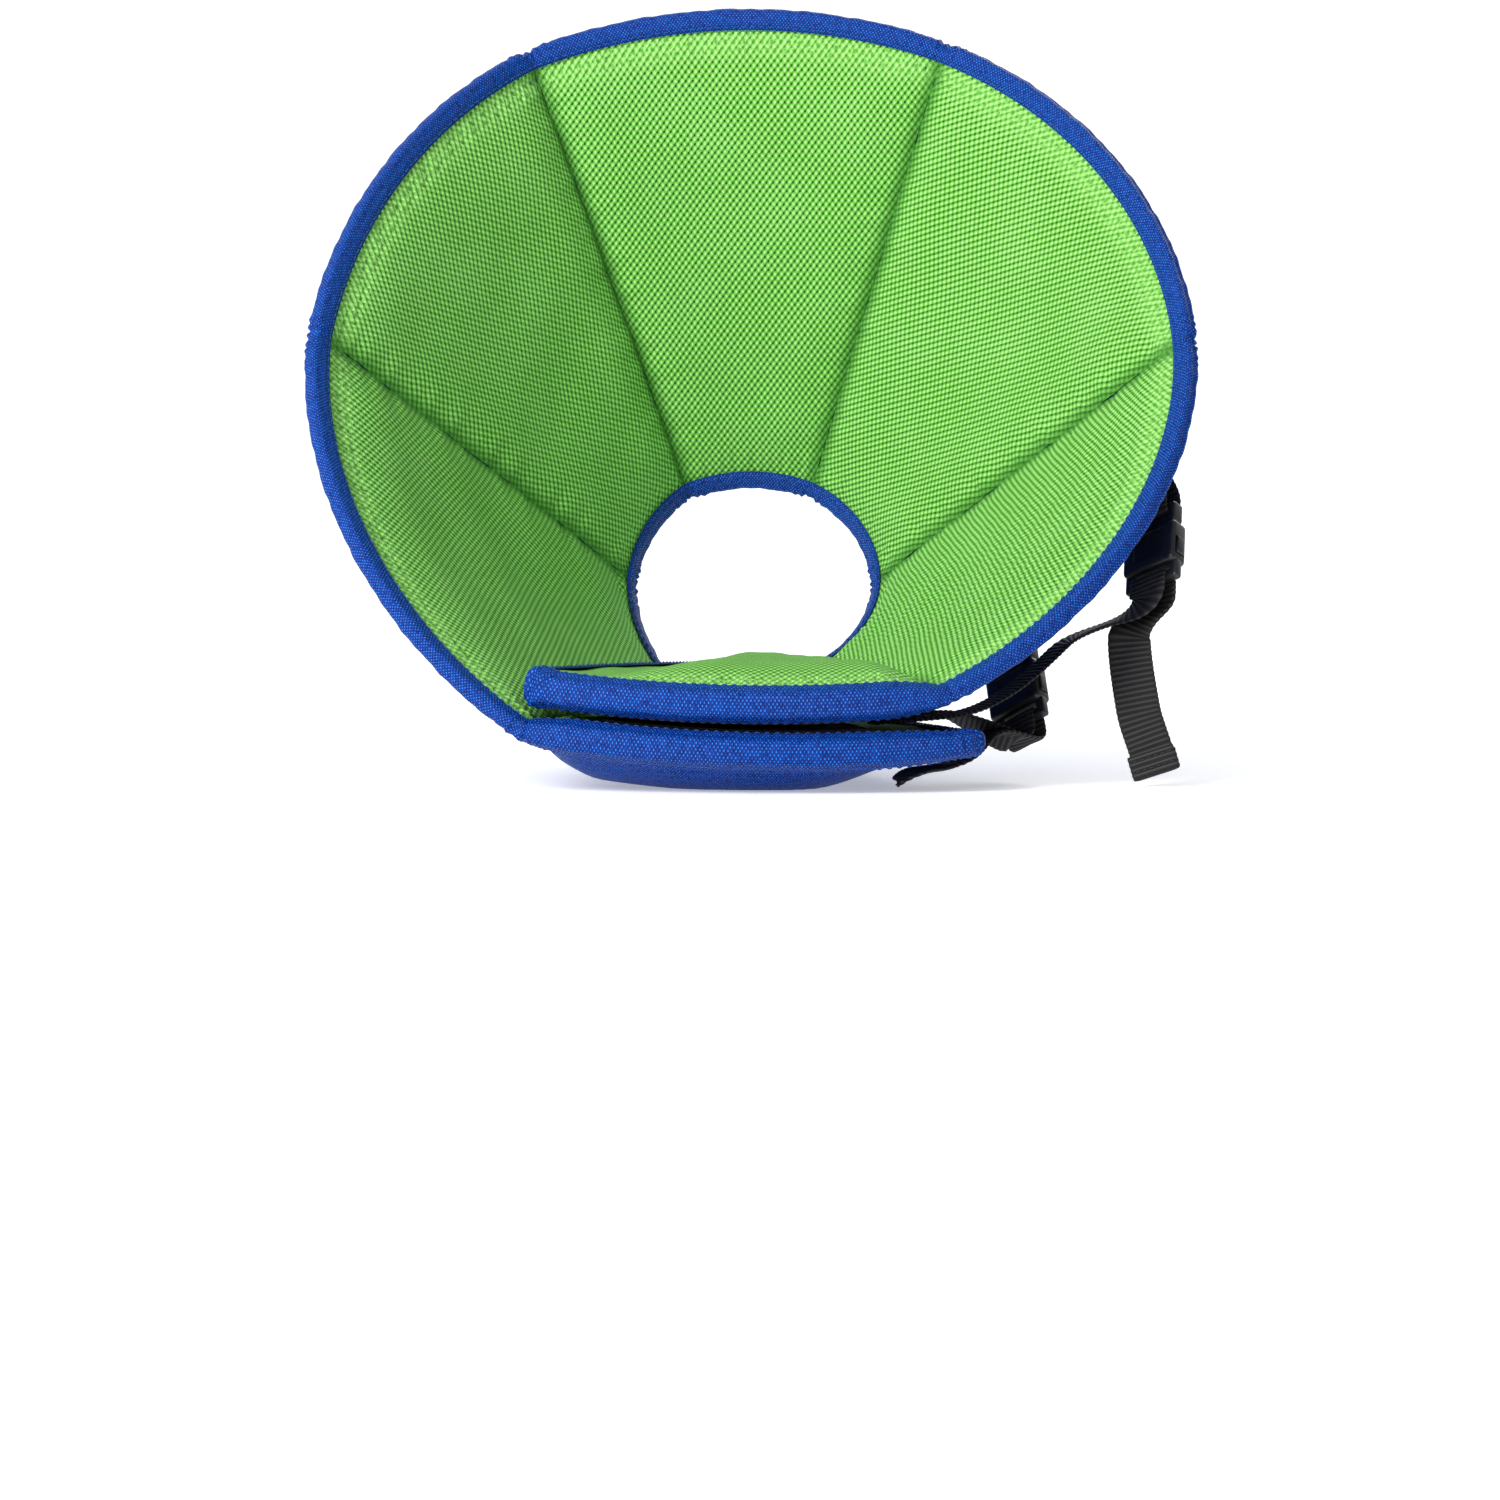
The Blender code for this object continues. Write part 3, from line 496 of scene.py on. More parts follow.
def puckers(along, out, number, seed):
    """Small folds across the sewn seams, where the thread gathers the cloth, and a soft waviness elsewhere."""
    folds = 0.0
    for k, distance in enumerate(seam_distances(along, out, number)):
        wave = ripple(out, seed + k, (0.0071, 0.0113, 0.0167), 1.0)
        folds = folds + wave * PUCKER * bell(distance - 0.005, 0.007)
    low, high = NECK + LAP, RIM - LAP
    edge = np.minimum(out - low, high - out)
    around = ripple(along * 0.12, seed + 5, (0.0083, 0.0131, 0.0190), 1.0)
    folds = folds + around * PUCKER * 0.7 * bell(edge - 0.004, 0.006)
    return folds + ripple(out + along * 0.03, seed + 9, (0.041, 0.067), 0.0004)


def creases(along, out):
    """The outer flap's cloth creases in lines along its binding at the rim, where the two flaps press."""
    distance = RIM - LAP - out
    share = np.clip((along - OUTER_FLAP - 0.08) / 0.84, 0, 1)
    drift = ripple(along * 0.15, 3, (0.05, 0.11), 0.0012)
    lines = -np.abs(np.sin(np.pi * (distance + drift) / 0.0034)) * 0.0009
    return lines * bell(distance - 0.005, 0.006) * hump(share) ** 0.5


PANEL_COLUMNS, PANEL_ROWS = 56, 110
for number, row in enumerate(PANELS):
    name = row[0]
    half_gap = GAP / 2 / float(per_panel(number + 0.5, NECK))
    low = number + (0 if number == INNER_FLAP else half_gap)
    high = number + 1 - (0 if number == OUTER_FLAP else half_gap)
    columns = (low + eased(PANEL_COLUMNS) * (high - low))[None, :]
    shares = np.linspace(0, 1, PANEL_ROWS + 1)[:, None]
    outs = neck_edge(columns) + shares * (rim_edge(columns) - neck_edge(columns))
    relief = puckers(columns, outs, number, 40 + 11 * number)
    if number == OUTER_FLAP:
        relief = relief + creases(columns, outs)
    clear = np.clip(np.minimum(outs - neck_edge(columns), rim_edge(columns) - outs) / LAP - 0.6, 0, 1)
    outer = face(columns, outs, OUTSIDE, relief * clear)
    inner = face(columns, outs, INSIDE, 0.0)
    rings = np.concatenate([outer, inner[:, ::-1]], 1)
    pattern = flat_pattern(columns, outs, number)
    pattern = np.concatenate([pattern, pattern[:, ::-1], pattern[:, :1]], 1)
    pad = loft("padded_" + name, rings, BLUE_CLOTH, pattern, capped=True)
    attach(pad, "root")
    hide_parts(name)

# Mesh lining
# One layer of spongy green air mesh over the inside of each pad, sewn down in the seams. Its knit is a field
# of small staggered holes, with a few rows of larger eyelets along the rim.
HOLE_ACROSS, HOLE_DOWN = 0.0026, 0.0034
EYELET_ACROSS, EYELET_DOWN = 0.0037, 0.0060
EYELETS_FROM, EYELETS_TO = LAP + 0.0016, LAP + 0.0088


def air_mesh():
    """Knitted spacer mesh: bright knots, mid-green thread between them, and dark holes, with painted shade in the
    holes, eyelets and grooves and along the seams.
    """
    tree, given, result = new_group(
        "air_mesh",
        [
            ("Pattern", "Vector", None),
            ("From Rim", "Vector", None),
            ("From Seam", "Vector", None),
            ("Knot", "Color", (0.44, 0.83, 0.25, 1)),
            ("Thread", "Color", (0.15, 0.48, 0.060, 1)),
            ("Shaded Hole", "Color", (0.016, 0.11, 0.006, 1)),
            # painted shade along the seams
            ("Seam", "Color", (0.030, 0.20, 0.012, 1)),
        ],
        [("Color", "Color", None), ("Roughness", "Float", None), ("Height", "Float", None)],
    )
    small = cells(tree, given["Pattern"], HOLE_ACROSS, HOLE_DOWN)
    large = cells(tree, given["From Rim"], EYELET_ACROSS, EYELET_DOWN)
    depth = node(tree, "SeparateXYZ", Vector=given["From Rim"]).outputs[1]
    band = calc(tree, "MULTIPLY", smooth(tree, depth, EYELETS_FROM - 0.001, EYELETS_FROM), 1.0)
    band = calc(tree, "MULTIPLY", band, calc(tree, "SUBTRACT", 1.0, smooth(tree, depth, EYELETS_TO - 0.004, EYELETS_TO + 0.005)))
    fuzz = node(tree, "TexNoise", Vector=given["Pattern"], Scale=1500.0, Detail=3.0).outputs[0]
    patches = node(tree, "TexNoise", Vector=given["Pattern"], Scale=35.0, Detail=2.0).outputs[0]
    hole = smooth(tree, calc(tree, "MULTIPLY_ADD", fuzz, 0.6, small), 0.62, 1.3)
    knot = smooth(tree, calc(tree, "MULTIPLY_ADD", fuzz, 0.9, calc(tree, "MULTIPLY", small, -1.0)), 0.55, 1.35)
    parts = node(tree, "SeparateXYZ", Vector=given["Pattern"])
    turns = calc(tree, "MULTIPLY", parts.outputs[0], math.tau / HOLE_ACROSS)
    turns = calc(tree, "MULTIPLY_ADD", parts.outputs[1], math.tau / HOLE_DOWN, turns)
    groove = smooth(tree, calc(tree, "MULTIPLY_ADD", fuzz, 0.5, calc(tree, "COSINE", turns)), 0.55, 1.35)
    eyelet = calc(tree, "MULTIPLY", smooth(tree, large, 0.35, 0.75), band)
    hole = calc(tree, "MULTIPLY", hole, calc(tree, "MULTIPLY_ADD", band, -0.5, 1.0))
    colour = blend_colours(tree, smooth(tree, patches, 0.3, 0.8), given["Thread"], (0.19, 0.54, 0.095, 1))
    # Painted shade: the knit's diagonal grooves are mixed towards a darker green
    colour = blend_colours(tree, calc(tree, "MULTIPLY", groove, 0.6), colour, (0.075, 0.32, 0.030, 1))
    colour = blend_colours(tree, knot, colour, given["Knot"])
    colour = blend_colours(tree, calc(tree, "MULTIPLY", band, 0.30), colour, (0.42, 0.80, 0.22, 1))
    # Painted shade: the small holes are mixed towards a dark green
    colour = blend_colours(tree, hole, colour, given["Shaded Hole"])
    # Painted shade: the larger eyelets near the rim are mixed towards a darker green
    colour = blend_colours(tree, calc(tree, "MULTIPLY", eyelet, 0.85), colour, (0.10, 0.38, 0.05, 1))
    # Painted shade: within 7 mm of each seam the lining is mixed towards a deep green, the shade of the seam's valley
    from_seam = node(tree, "SeparateXYZ", Vector=given["From Seam"]).outputs[0]
    pressed_and_seam_shade = calc(tree, "SUBTRACT", 1.0, smooth(tree, from_seam, 0.0, 0.007))
    colour = blend_colours(tree, calc(tree, "MULTIPLY", pressed_and_seam_shade, 0.8), colour, given["Seam"])
    tree.links.new(colour, result["Color"])
    tree.links.new(calc(tree, "MULTIPLY_ADD", knot, -0.15, 0.85), result["Roughness"])
    height = calc(tree, "MULTIPLY_ADD", hole, -1.0, calc(tree, "MULTIPLY", knot, 0.35))
    height = calc(tree, "MULTIPLY_ADD", groove, -0.35, height)
    tree.links.new(calc(tree, "MULTIPLY_ADD", fuzz, 0.2, height), result["Height"])
    return tree


GREEN_MESH = finish(
    "green_air_mesh",
    air_mesh(),
    0.0007,
    sheen=0.08,
    sheen_tint=(0.7, 1, 0.5, 1),
    specular=0.2,
    layers=("pattern", "from_rim", "from_seam"),
)
LINING_COLUMNS = 168
LINING_ROWS_NEAR_RIM, LINING_ROWS = 22, 66
RIM_BAND = LAP + 0.0125
# The lower right panel's lining lies in low chevron folds
CHEVRON, CHEVRON_PITCH, CHEVRON_BEND, CHEVRON_AT = 0.0006, 0.0095, 1.7, 0.45


def rim_length(along):
    """Length along the rim from the inner flap's end, at this place."""
    places = np.linspace(0, STRIP_END, 1401)
    steps = np.linalg.norm(np.diff(middle(places, RIM), axis=0), axis=1)
    return np.interp(along, places, np.concatenate([[0], np.cumsum(steps)]))


for number, row in enumerate(PANELS):
    name = "lining_" + row[0].removeprefix("panel_")
    columns = (number + eased(LINING_COLUMNS) * 0.35 + np.linspace(0, 1, LINING_COLUMNS + 1) * 0.65)[None, :]
    far = rim_edge(columns)
    near = neck_edge(columns)
    main = near + np.linspace(0, 1, LINING_ROWS + 1)[:, None] * (far - RIM_BAND - near)
    band = far - RIM_BAND + np.linspace(0, 1, LINING_ROWS_NEAR_RIM + 1)[1:, None] * RIM_BAND
    outs = np.concatenate([main, band], 0)
    from_rim = np.stack([np.broadcast_to(rim_length(columns), outs.shape), far - outs], -1)
    wave = np.cos(math.tau * from_rim[..., 0] / EYELET_ACROSS) * np.cos(math.tau * from_rim[..., 1] / EYELET_DOWN)
    in_band = (from_rim[..., 1] > EYELETS_FROM - 0.0005) & (from_rim[..., 1] < EYELETS_TO + 0.0005)
    dimples = np.where(in_band, -0.0009 * np.clip((wave - 0.35) / 0.5, 0, 1), 0.0)
    clear = np.clip(np.minimum(outs - near, far - outs) / LAP - 0.6, 0, 1)
    relief = puckers(columns, outs, number, 140 + 11 * number) + dimples
    if row[0] == "panel_lower_right":
        share = columns - number
        bent = outs / CHEVRON_PITCH + CHEVRON_BEND * np.abs(share - CHEVRON_AT)
        relief = relief + CHEVRON * np.sin(math.tau * bent) * hump(share) * clear
    relief = relief * clear
    sheet_points = face(columns, outs, INSIDE, GAP + LINING + relief)
    pattern = flat_pattern(columns, outs, number)
    rings = sheet_points[::-1]
    first, second = seam_distances(columns, outs, number)
    from_seam = np.stack([np.minimum(first, second), outs], -1)
    more_uv = (from_rim[::-1], from_seam[::-1])
    lining = loft(name, rings, GREEN_MESH, pattern[::-1], ring_closed=False, more_uv=more_uv)
    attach(lining, "root")
    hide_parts("mesh_lining")

# Edge binding
# A tape of the same oxford cloth, folded over the strip's whole edge and sewn through both faces. It gathers
# into small ridges round the corners and where it crosses the thick seams.
ROLL_POINTS, LAP_POINTS = 15, 6
PRESSED, PRESSED_TURN = 0.0008, -0.20
SECTION_STEP = 0.0015
PINCH, PINCH_WIDTH, RIDGE, RIDGE_WIDTH, RIDGE_LENGTH = 0.0011, 0.0035, 0.0007, 0.009, 0.0036


def edge_track(step):
    """Places all round the strip's edge, evenly spaced: the rim, the outer flap's end, the neck and the inner
    flap's end. Returns their along and out, their direction inwards in (along, out), and the lengths."""
    dense = np.unique(np.concatenate([n + eased(240) for n in range(STRIP_END)]))
    ends = np.linspace(0, 1, 200)[1:-1]
    outer_end = rim_edge(STRIP_END) + ends * (neck_edge(STRIP_END) - rim_edge(STRIP_END))
    inner_end = neck_edge(0) + ends * (rim_edge(0) - neck_edge(0))
    along = np.concatenate([dense, np.full(198, STRIP_END), dense[::-1], np.zeros(198), [0.0]])
    out = np.concatenate([rim_edge(dense), outer_end, neck_edge(dense)[::-1], inner_end, [rim_edge(0.0)]])
    lengths = np.linalg.norm(np.diff(middle(along, out), axis=0), axis=1)
    total = np.concatenate([[0], np.cumsum(lengths)])
    count = int(total[-1] / step)
    places = np.arange(count) * total[-1] / count
    along, out = np.interp(places, total, along), np.interp(places, total, out)
    width = per_panel(np.clip(along, 0.1, STRIP_END - 0.1), out)
    run = np.stack([(np.roll(along, -2) - np.roll(along, 2)) * width, np.roll(out, -2) - np.roll(out, 2)], 1)
    run = unit(run)
    return along, out, np.stack([run[:, 1] / width, -run[:, 0]], 1), places, total[-1]


track_along, track_out, track_in, track_places, edge_length = edge_track(SECTION_STEP)
on_rim = (track_out > RIM - CORNER) & (track_along > 0.2) & (track_along < STRIP_END - 0.2)
gather = np.zeros(len(track_places))
ridges = np.zeros(len(track_places))
for seam in range(1, STRIP_END):
    for at_rim in (True, False):
        near = on_rim if at_rim else (track_out < NECK + CORNER)
        from_seam = (track_along - seam) * per_panel(seam, RIM if at_rim else NECK)
        gather += near * -PINCH * bell(from_seam, PINCH_WIDTH)
        ridges += near * RIDGE * np.cos(math.tau * from_seam / RIDGE_LENGTH) * bell(from_seam, RIDGE_WIDTH)
corner_ridges = RIDGE * np.cos(math.tau * track_places / RIDGE_LENGTH)
at_corner = (corner_inset(track_along, RIM) > 0.0002) & (corner_inset(track_along, RIM) < CORNER - 0.0002)
ridges += np.where(at_corner, corner_ridges, 0)
waviness = ripple(track_places, 7, (0.0067, 0.0103, 0.0171, 0.031), 0.00035)


def on_face(distance, side, raised):
    return face(track_along + track_in[:, 0] * distance, track_out + track_in[:, 1] * distance, side, raised)


OVER, UNDER = LINING + GAP + FACET_GAP, FACET_GAP
edge = middle(track_along, track_out)
off = unit(edge - middle(track_along + track_in[:, 0] * STEP, track_out + track_in[:, 1] * STEP))
up = inward_normal(track_along, track_out)
top = padding(track_along, track_out, INSIDE) + OVER
bottom = padding(track_along, track_out, OUTSIDE) + UNDER
crest = edge + up * ((top - bottom) / 2)[:, None]
half = (top + bottom) / 2 + TAPE
inside_lap, outside_lap = [], []
for k in range(LAP_POINTS):
    share = k / (LAP_POINTS - 1)
    distance = LAP * (1 - share)
    rounded = -0.0004 * (1 - share) ** 6
    sewn = -0.00045 * bell(distance - LAP + 0.0013, 0.0006)
    swell_out = 0.0005 * hump(share)
    uneven = (waviness + ridges * 0.8) * share
    inside_lap.append(on_face(distance, INSIDE, OVER + TAPE + rounded + sewn + swell_out + uneven))
    outside_lap.append(on_face(distance, OUTSIDE, UNDER + TAPE + rounded + sewn + swell_out + uneven))
# On the right the tape's outer lap shows past a pressed line
on_right = on_rim * np.clip(track_along - 0.2, 0, 1) * np.clip((3.4 - track_along) * 2, 0, 1)
roll = []
for k in range(1, ROLL_POINTS):
    turn = math.pi * (0.5 - k / ROLL_POINTS)
    height = abs(math.sin(turn)) ** 0.7 * math.copysign(1, math.sin(turn))
    reach = abs(math.cos(turn)) ** 0.75
    lifted = half * (1 + 0.02 * abs(height)) + (waviness + ridges) * abs(height)
    pressed_and_seam_shade = PRESSED * on_right * bell(turn - PRESSED_TURN, 0.2)
    lifted, outward = lifted - pressed_and_seam_shade, (ROLL + gather + waviness + ridges * 0.9) * reach - pressed_and_seam_shade
    roll.append(crest + up * (lifted * height)[:, None] + off * outward[:, None])
hidden = [
    on_face(LAP, OUTSIDE, UNDER),
    on_face(0, OUTSIDE, UNDER) + off * GAP,
    on_face(0, INSIDE, OVER) + off * GAP,
    on_face(LAP, INSIDE, OVER),
]
rings = np.stack(inside_lap + roll + outside_lap[::-1] + hidden, 1)
across = np.linalg.norm(np.diff(rings[:, : 2 * LAP_POINTS + ROLL_POINTS - 1], axis=1), axis=2).mean(0)
across = np.concatenate([[0], np.cumsum(across)])
across = np.concatenate([across, across[-1] + np.arange(1, len(hidden) + 2) * TAPE])
lengths = np.concatenate([track_places, [edge_length]])
pattern = np.stack(np.meshgrid(lengths, across, indexing="ij"), -1)
BINDING_CLOTH = finish(
    "blue_binding_cloth",
    OXFORD,
    0.00030,
    specular=0.16,
    values={"Across": 0.00130, "Down": 0.00165},
)
binding = loft("folded_edge_binding", rings, BINDING_CLOTH, pattern, closed=True)
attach(binding, "root")
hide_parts("edge_binding")

# Binding stitches
# One row of lockstitch near the tape's edge on each face, in a thread of the same blue. Each stitch is a short
# length of thread that dips into the cloth at both ends.
STITCH, STITCH_GAP, THREAD = 0.0025, 0.0009, 0.00024
STITCH_SIDES, STITCH_RINGS = 5, 5


def thread_finish(name, colour, roughness):
    made = bpy.data.materials.new(name)
    made.use_nodes = True
    tree = made.node_tree
    shader = tree.nodes["Principled BSDF"]
    twist = node(tree, "TexWave", Vector=node(tree, "TexCoord").outputs["Object"], Scale=900.0, Distortion=2.0)
    tree.links.new(
        blend_colours(tree, twist.outputs["Fac"], tuple(c * 0.6 for c in colour) + (1,), (*colour, 1)),
        shader.inputs["Base Color"],
    )
    raised = node(tree, "Bump", Height=twist.outputs["Fac"], Strength=0.6, Distance=0.0001)
    tree.links.new(raised.outputs[0], shader.inputs["Normal"])
    shader.inputs["Roughness"].default_value = roughness
    return made


def stitches(name, starts, ends, normals, surface, thread=THREAD):
    """Threads from starts to ends, sunk at both ends. All are one mesh."""
    shares = np.linspace(0, 1, STITCH_RINGS)
    run = unit(ends - starts)
    side = unit(np.cross(run, normals))
    lift = np.cross(side, run)
    angles = math.tau * np.arange(STITCH_SIDES) / STITCH_SIDES
    points, faces = [], []
    for share in shares:
        centre = starts + (ends - starts) * share + lift * thread * (2.4 * hump(share) - 1.2)
        size = thread * (0.55 + 0.45 * hump(share))
        points.append(
            centre[:, None] + size * (np.cos(angles)[:, None] * side[:, None] + np.sin(angles)[:, None] * lift[:, None])
        )
    points = np.stack(points, 1)
    count = len(starts)
    for s in range(count):
        base = s * STITCH_RINGS * STITCH_SIDES
        for r in range(STITCH_RINGS - 1):
            for a in range(STITCH_SIDES):
                b = (a + 1) % STITCH_SIDES
                low, high = base + r * STITCH_SIDES, base + (r + 1) * STITCH_SIDES
                faces.append([low + a, low + b, high + b, high + a])
        faces.append([base + a for a in range(STITCH_SIDES)][::-1])
        faces.append([base + (STITCH_RINGS - 1) * STITCH_SIDES + a for a in range(STITCH_SIDES)])
    mesh = bpy.data.meshes.new(name)
    mesh.from_pydata((points.reshape(-1, 3) + APEX).tolist(), [], faces)
    mesh.shade_smooth()
    mesh.materials.append(surface)
    made = bpy.data.objects.new(name, mesh)
    bpy.context.scene.collection.objects.link(made)
    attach(made, "root")
    return made


BLUE_THREAD = thread_finish("blue_thread", (0.022, 0.075, 0.42), 0.5)
starts = np.arange(0, edge_length - STITCH, STITCH + STITCH_GAP)
for name, side, base in (("inside", INSIDE, OVER), ("outside", OUTSIDE, UNDER)):
    ends = []
    for places in (starts, starts + STITCH):
        along = np.interp(places, lengths[:-1], track_along)
        out = np.interp(places, lengths[:-1], track_out)
        inwards = np.stack([np.interp(places, lengths[:-1], track_in[:, k]) for k in (0, 1)], 1)
        row_along, row_out = along + inwards[:, 0] * (LAP - 0.0013), out + inwards[:, 1] * (LAP - 0.0013)
        ends.append(face(row_along, row_out, side, base + TAPE + THREAD * 0.4))
    normals = inward_normal(row_along, row_out) * side
    row = stitches("binding_stitches_" + name, ends[0], ends[1], normals, BLUE_THREAD)

# Hook-and-loop tapes
# The closure between the two flaps: stiff hooks sewn on the inner flap's outside, and soft loop pile on the
# outer flap's inside. Both are black, and show only in the slit between the flaps.
TAPE_COLUMNS, TAPE_ROWS = 90, 70
TAPE_EDGE = LAP + TAPE_MARGIN


def pile_finish(name, scale, roughness):
    made = bpy.data.materials.new(name)
    made.use_nodes = True
    tree = made.node_tree
    shader = tree.nodes["Principled BSDF"]
    place = node(tree, "TexCoord").outputs["Object"]
    tufts = node(tree, "TexVoronoi", Vector=place, Scale=scale).outputs["Distance"]
    colour = blend_colours(tree, tufts, (0.030, 0.030, 0.032, 1), (0.004, 0.004, 0.004, 1))
    tree.links.new(colour, shader.inputs["Base Color"])
    raised = node(tree, "Bump", Height=tufts, Strength=1.0, Distance=0.0004)
    tree.links.new(raised.outputs[0], shader.inputs["Normal"])
    shader.inputs["Roughness"].default_value = roughness
    return made


for name, number, side, base, free, seam, scale in (
    # name, flap, face, height off it, bare share at the free end, bare share at the seam, pile scale
    ("inner_flap", INNER_FLAP, OUTSIDE, GAP, 0.09, 0.18, 900.0),
    ("outer_flap", OUTER_FLAP, INSIDE, LINING + 2 * GAP, 0.25, 0.17, 1400.0),
):
    shares = np.linspace(0, 1, TAPE_COLUMNS + 1)[None, :]
    outs = NECK + TAPE_EDGE + (RIM - NECK - 2 * TAPE_EDGE) * np.linspace(0, 1, TAPE_ROWS + 1)[:, None]
    bare = np.maximum(free, TAPE_EDGE / per_panel(number + 0.5, outs))
    from_end = bare + (1 - seam - bare) * shares
    along = number + from_end if number == INNER_FLAP else number + 1 - from_end
    outs = np.broadcast_to(outs, along.shape)
    tufted = np.random.default_rng(31 + number).uniform(-0.00012, 0.00012, along.shape)
    upper = face(along, outs, side, base + HOOK_TAPE + tufted)
    lower = face(along, outs, side, base)
    rings = np.concatenate([upper, lower[:, ::-1]], 1)
    pattern = np.zeros((rings.shape[0], rings.shape[1] + 1, 2))
    tape = loft(
        "hook_and_loop_" + name,
        rings,
        pile_finish("black_pile_" + name, scale, 0.85),
        pattern,
        capped=True,
    )
    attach(tape, "root")
    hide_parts("fastening_tape_" + name)

# Straps and anchors
# Black ribbed webbing. Each strap is sewn on the outer flap's lining, goes round the bar of its buckle and hangs
# down as a loose tail. The buckle's other half hangs from a short loop that is sewn on the lower right panel.
WEB_WIDTH = 0.015
WEB = 0.0015
RIB = 0.0019
RIB_HEIGHT = 0.00016
WEB_STEP = 0.00032
WEB_ACROSS = 18
BUCKLE_WIDTH = 0.022
BUCKLE_THICK = 0.008
BUCKLE_WALL = 0.0016
BODY_LENGTH = 0.017
PLUG_LENGTH = 0.0080
BAR = 0.0022
SLOT = 0.0032
SLOT_SET = 0.0006
PLUG_THICK = 0.0052
LOOP_HALF = 0.0018
SLOT_PLAY = 0.0007
BAR_RUN = 0.004
BAR_EASE = 0.0002
SEWN = 0.028
TAIL_FOLD = 0.008
SOCKET_FAR = BODY_LENGTH + SLOT_SET + SLOT + BAR
PLUG_FAR = -PLUG_LENGTH - GAP
STRAPS = (
    # name, from_rim, hold, clear, anchor's near end, anchor's far end
    ("front", 0.033, (0.32, 0.033), 0.0090, (0.78, 0.028), (0.90, 0.032)),
    ("rear", 0.054, None, 0.0, (0.355, 0.072), (0.46, 0.089)),
)
HANGING = {
    # name: rows of place, direction of the run, direction of the width. The first row is the buckle's
    "front": (
        ((0.1382, -0.2010, 0.0862), (-0.10, -0.57, -0.82), (-0.722, 0.567, -0.397)),
        ((0.1270, -0.2212, 0.0495), (0.04, -0.05, -1.0), (-0.93, 0.36, -0.055)),
        ((0.1297, -0.2252, 0.0265), (0.16, -0.15, -0.97), (-0.95, 0.20, -0.19)),
        ((0.1337, -0.2302, 0.0118), (0.24, -0.30, -0.92), (-0.93, 0.27, -0.33)),
    ),
    "rear": (
        ((0.0906, -0.1898, 0.0376), (0.08, -0.57, -0.81), (-0.722, 0.567, -0.397)),
        ((0.0805, -0.2140, 0.0172), (-0.80, -0.30, -0.45), (-0.30, 0.95, 0.0)),
        ((0.0652, -0.2310, 0.0076), (-0.90, -0.30, -0.22), (-0.32, 0.95, 0.0)),
        ((0.0469, -0.2502, 0.0018), (-0.66, -0.25, -0.70), (-0.35, 0.94, 0.0)),
    ),
}


def ribbed_webbing():
    """Woven black webbing: ribs across the strap, made of short floats side by side."""
    tree, given, result = new_group(
        "ribbed_webbing",
        [
            ("Pattern", "Vector", None),
            ("Ground", "Color", (0.0035, 0.0032, 0.0032, 1)),
            ("Rib", "Color", (0.022, 0.020, 0.020, 1)),
        ],
        [("Color", "Color", None), ("Roughness", "Float", None), ("Height", "Float", None)],
    )
    parts = node(tree, "SeparateXYZ", Vector=given["Pattern"])
    rib = calc(tree, "COSINE", calc(tree, "MULTIPLY", parts.outputs[0], math.tau / RIB))
    floats = calc(tree, "COSINE", calc(tree, "MULTIPLY", parts.outputs[1], math.tau / 0.0008))
    fuzz = node(tree, "TexNoise", Vector=given["Pattern"], Scale=2500.0, Detail=3.0).outputs[0]
    raised = calc(tree, "MULTIPLY_ADD", floats, 0.22, calc(tree, "MULTIPLY_ADD", fuzz, 0.5, rib))
    share = smooth(tree, raised, -0.3, 1.4)
    tree.links.new(blend_colours(tree, share, given["Ground"], given["Rib"]), result["Color"])
    tree.links.new(calc(tree, "MULTIPLY_ADD", share, -0.2, 0.8), result["Roughness"])
    tree.links.new(calc(tree, "MULTIPLY_ADD", raised, 0.4, 0.5), result["Height"])
    return tree


BLACK_WEBBING = finish("black_ribbed_webbing", ribbed_webbing(), 0.00012, specular=0.4)


def smooth_path(holds, pieces):
    """Points and width directions of a smooth curve through the holds, each (point, direction, width)."""
    path = []
    for (start, leave, first), (end, arrive, second) in zip(holds, holds[1:]):
        reach = np.linalg.norm(end - start)
        for t in np.arange(pieces) / pieces:
            a, b = 2 * t**3 - 3 * t**2 + 1, t**3 - 2 * t**2 + t
            c, d = 3 * t**2 - 2 * t**3, t**3 - t**2
            point = start * a + leave * reach * b + end * c + arrive * reach * d
            path.append((point, unit(first * (1 - t) + second * t)))
    path.append((holds[-1][0], unit(holds[-1][2])))
    return path


def round_bar(bar, slot_middle, thick, outer_side):
    """The way round a bar, in x and z. bar is its outer face, thick half its thickness, and outer_side
    the sign of x beyond it."""
    clear = thick + GAP + WEB / 2
    return [
        (bar + outer_side * BAR_RUN, -clear - 1.5 * BAR_EASE),
        (bar, -clear - BAR_EASE),
        (bar - outer_side * BAR * 0.75, -clear),
        (slot_middle + outer_side * SLOT_PLAY, -clear * 0.86),
        (slot_middle, -clear * 0.35),
        (slot_middle, clear * 0.35),
        (slot_middle + outer_side * SLOT_PLAY, clear * 0.86),
        (bar - outer_side * BAR * 0.75, clear),
        (bar, clear + BAR_EASE),
        (bar + outer_side * BAR_RUN, clear + 1.5 * BAR_EASE),
    ]


def in_sense(holds, across):
    """The same points, with each width's direction turned round where it opposes the one before."""
    turned_holds = []
    for hold in holds:
        across = hold[-1] * (1 if np.dot(hold[-1], across) > 0 else -1)
        turned_holds.append((*hold[:-1], across))
    return turned_holds


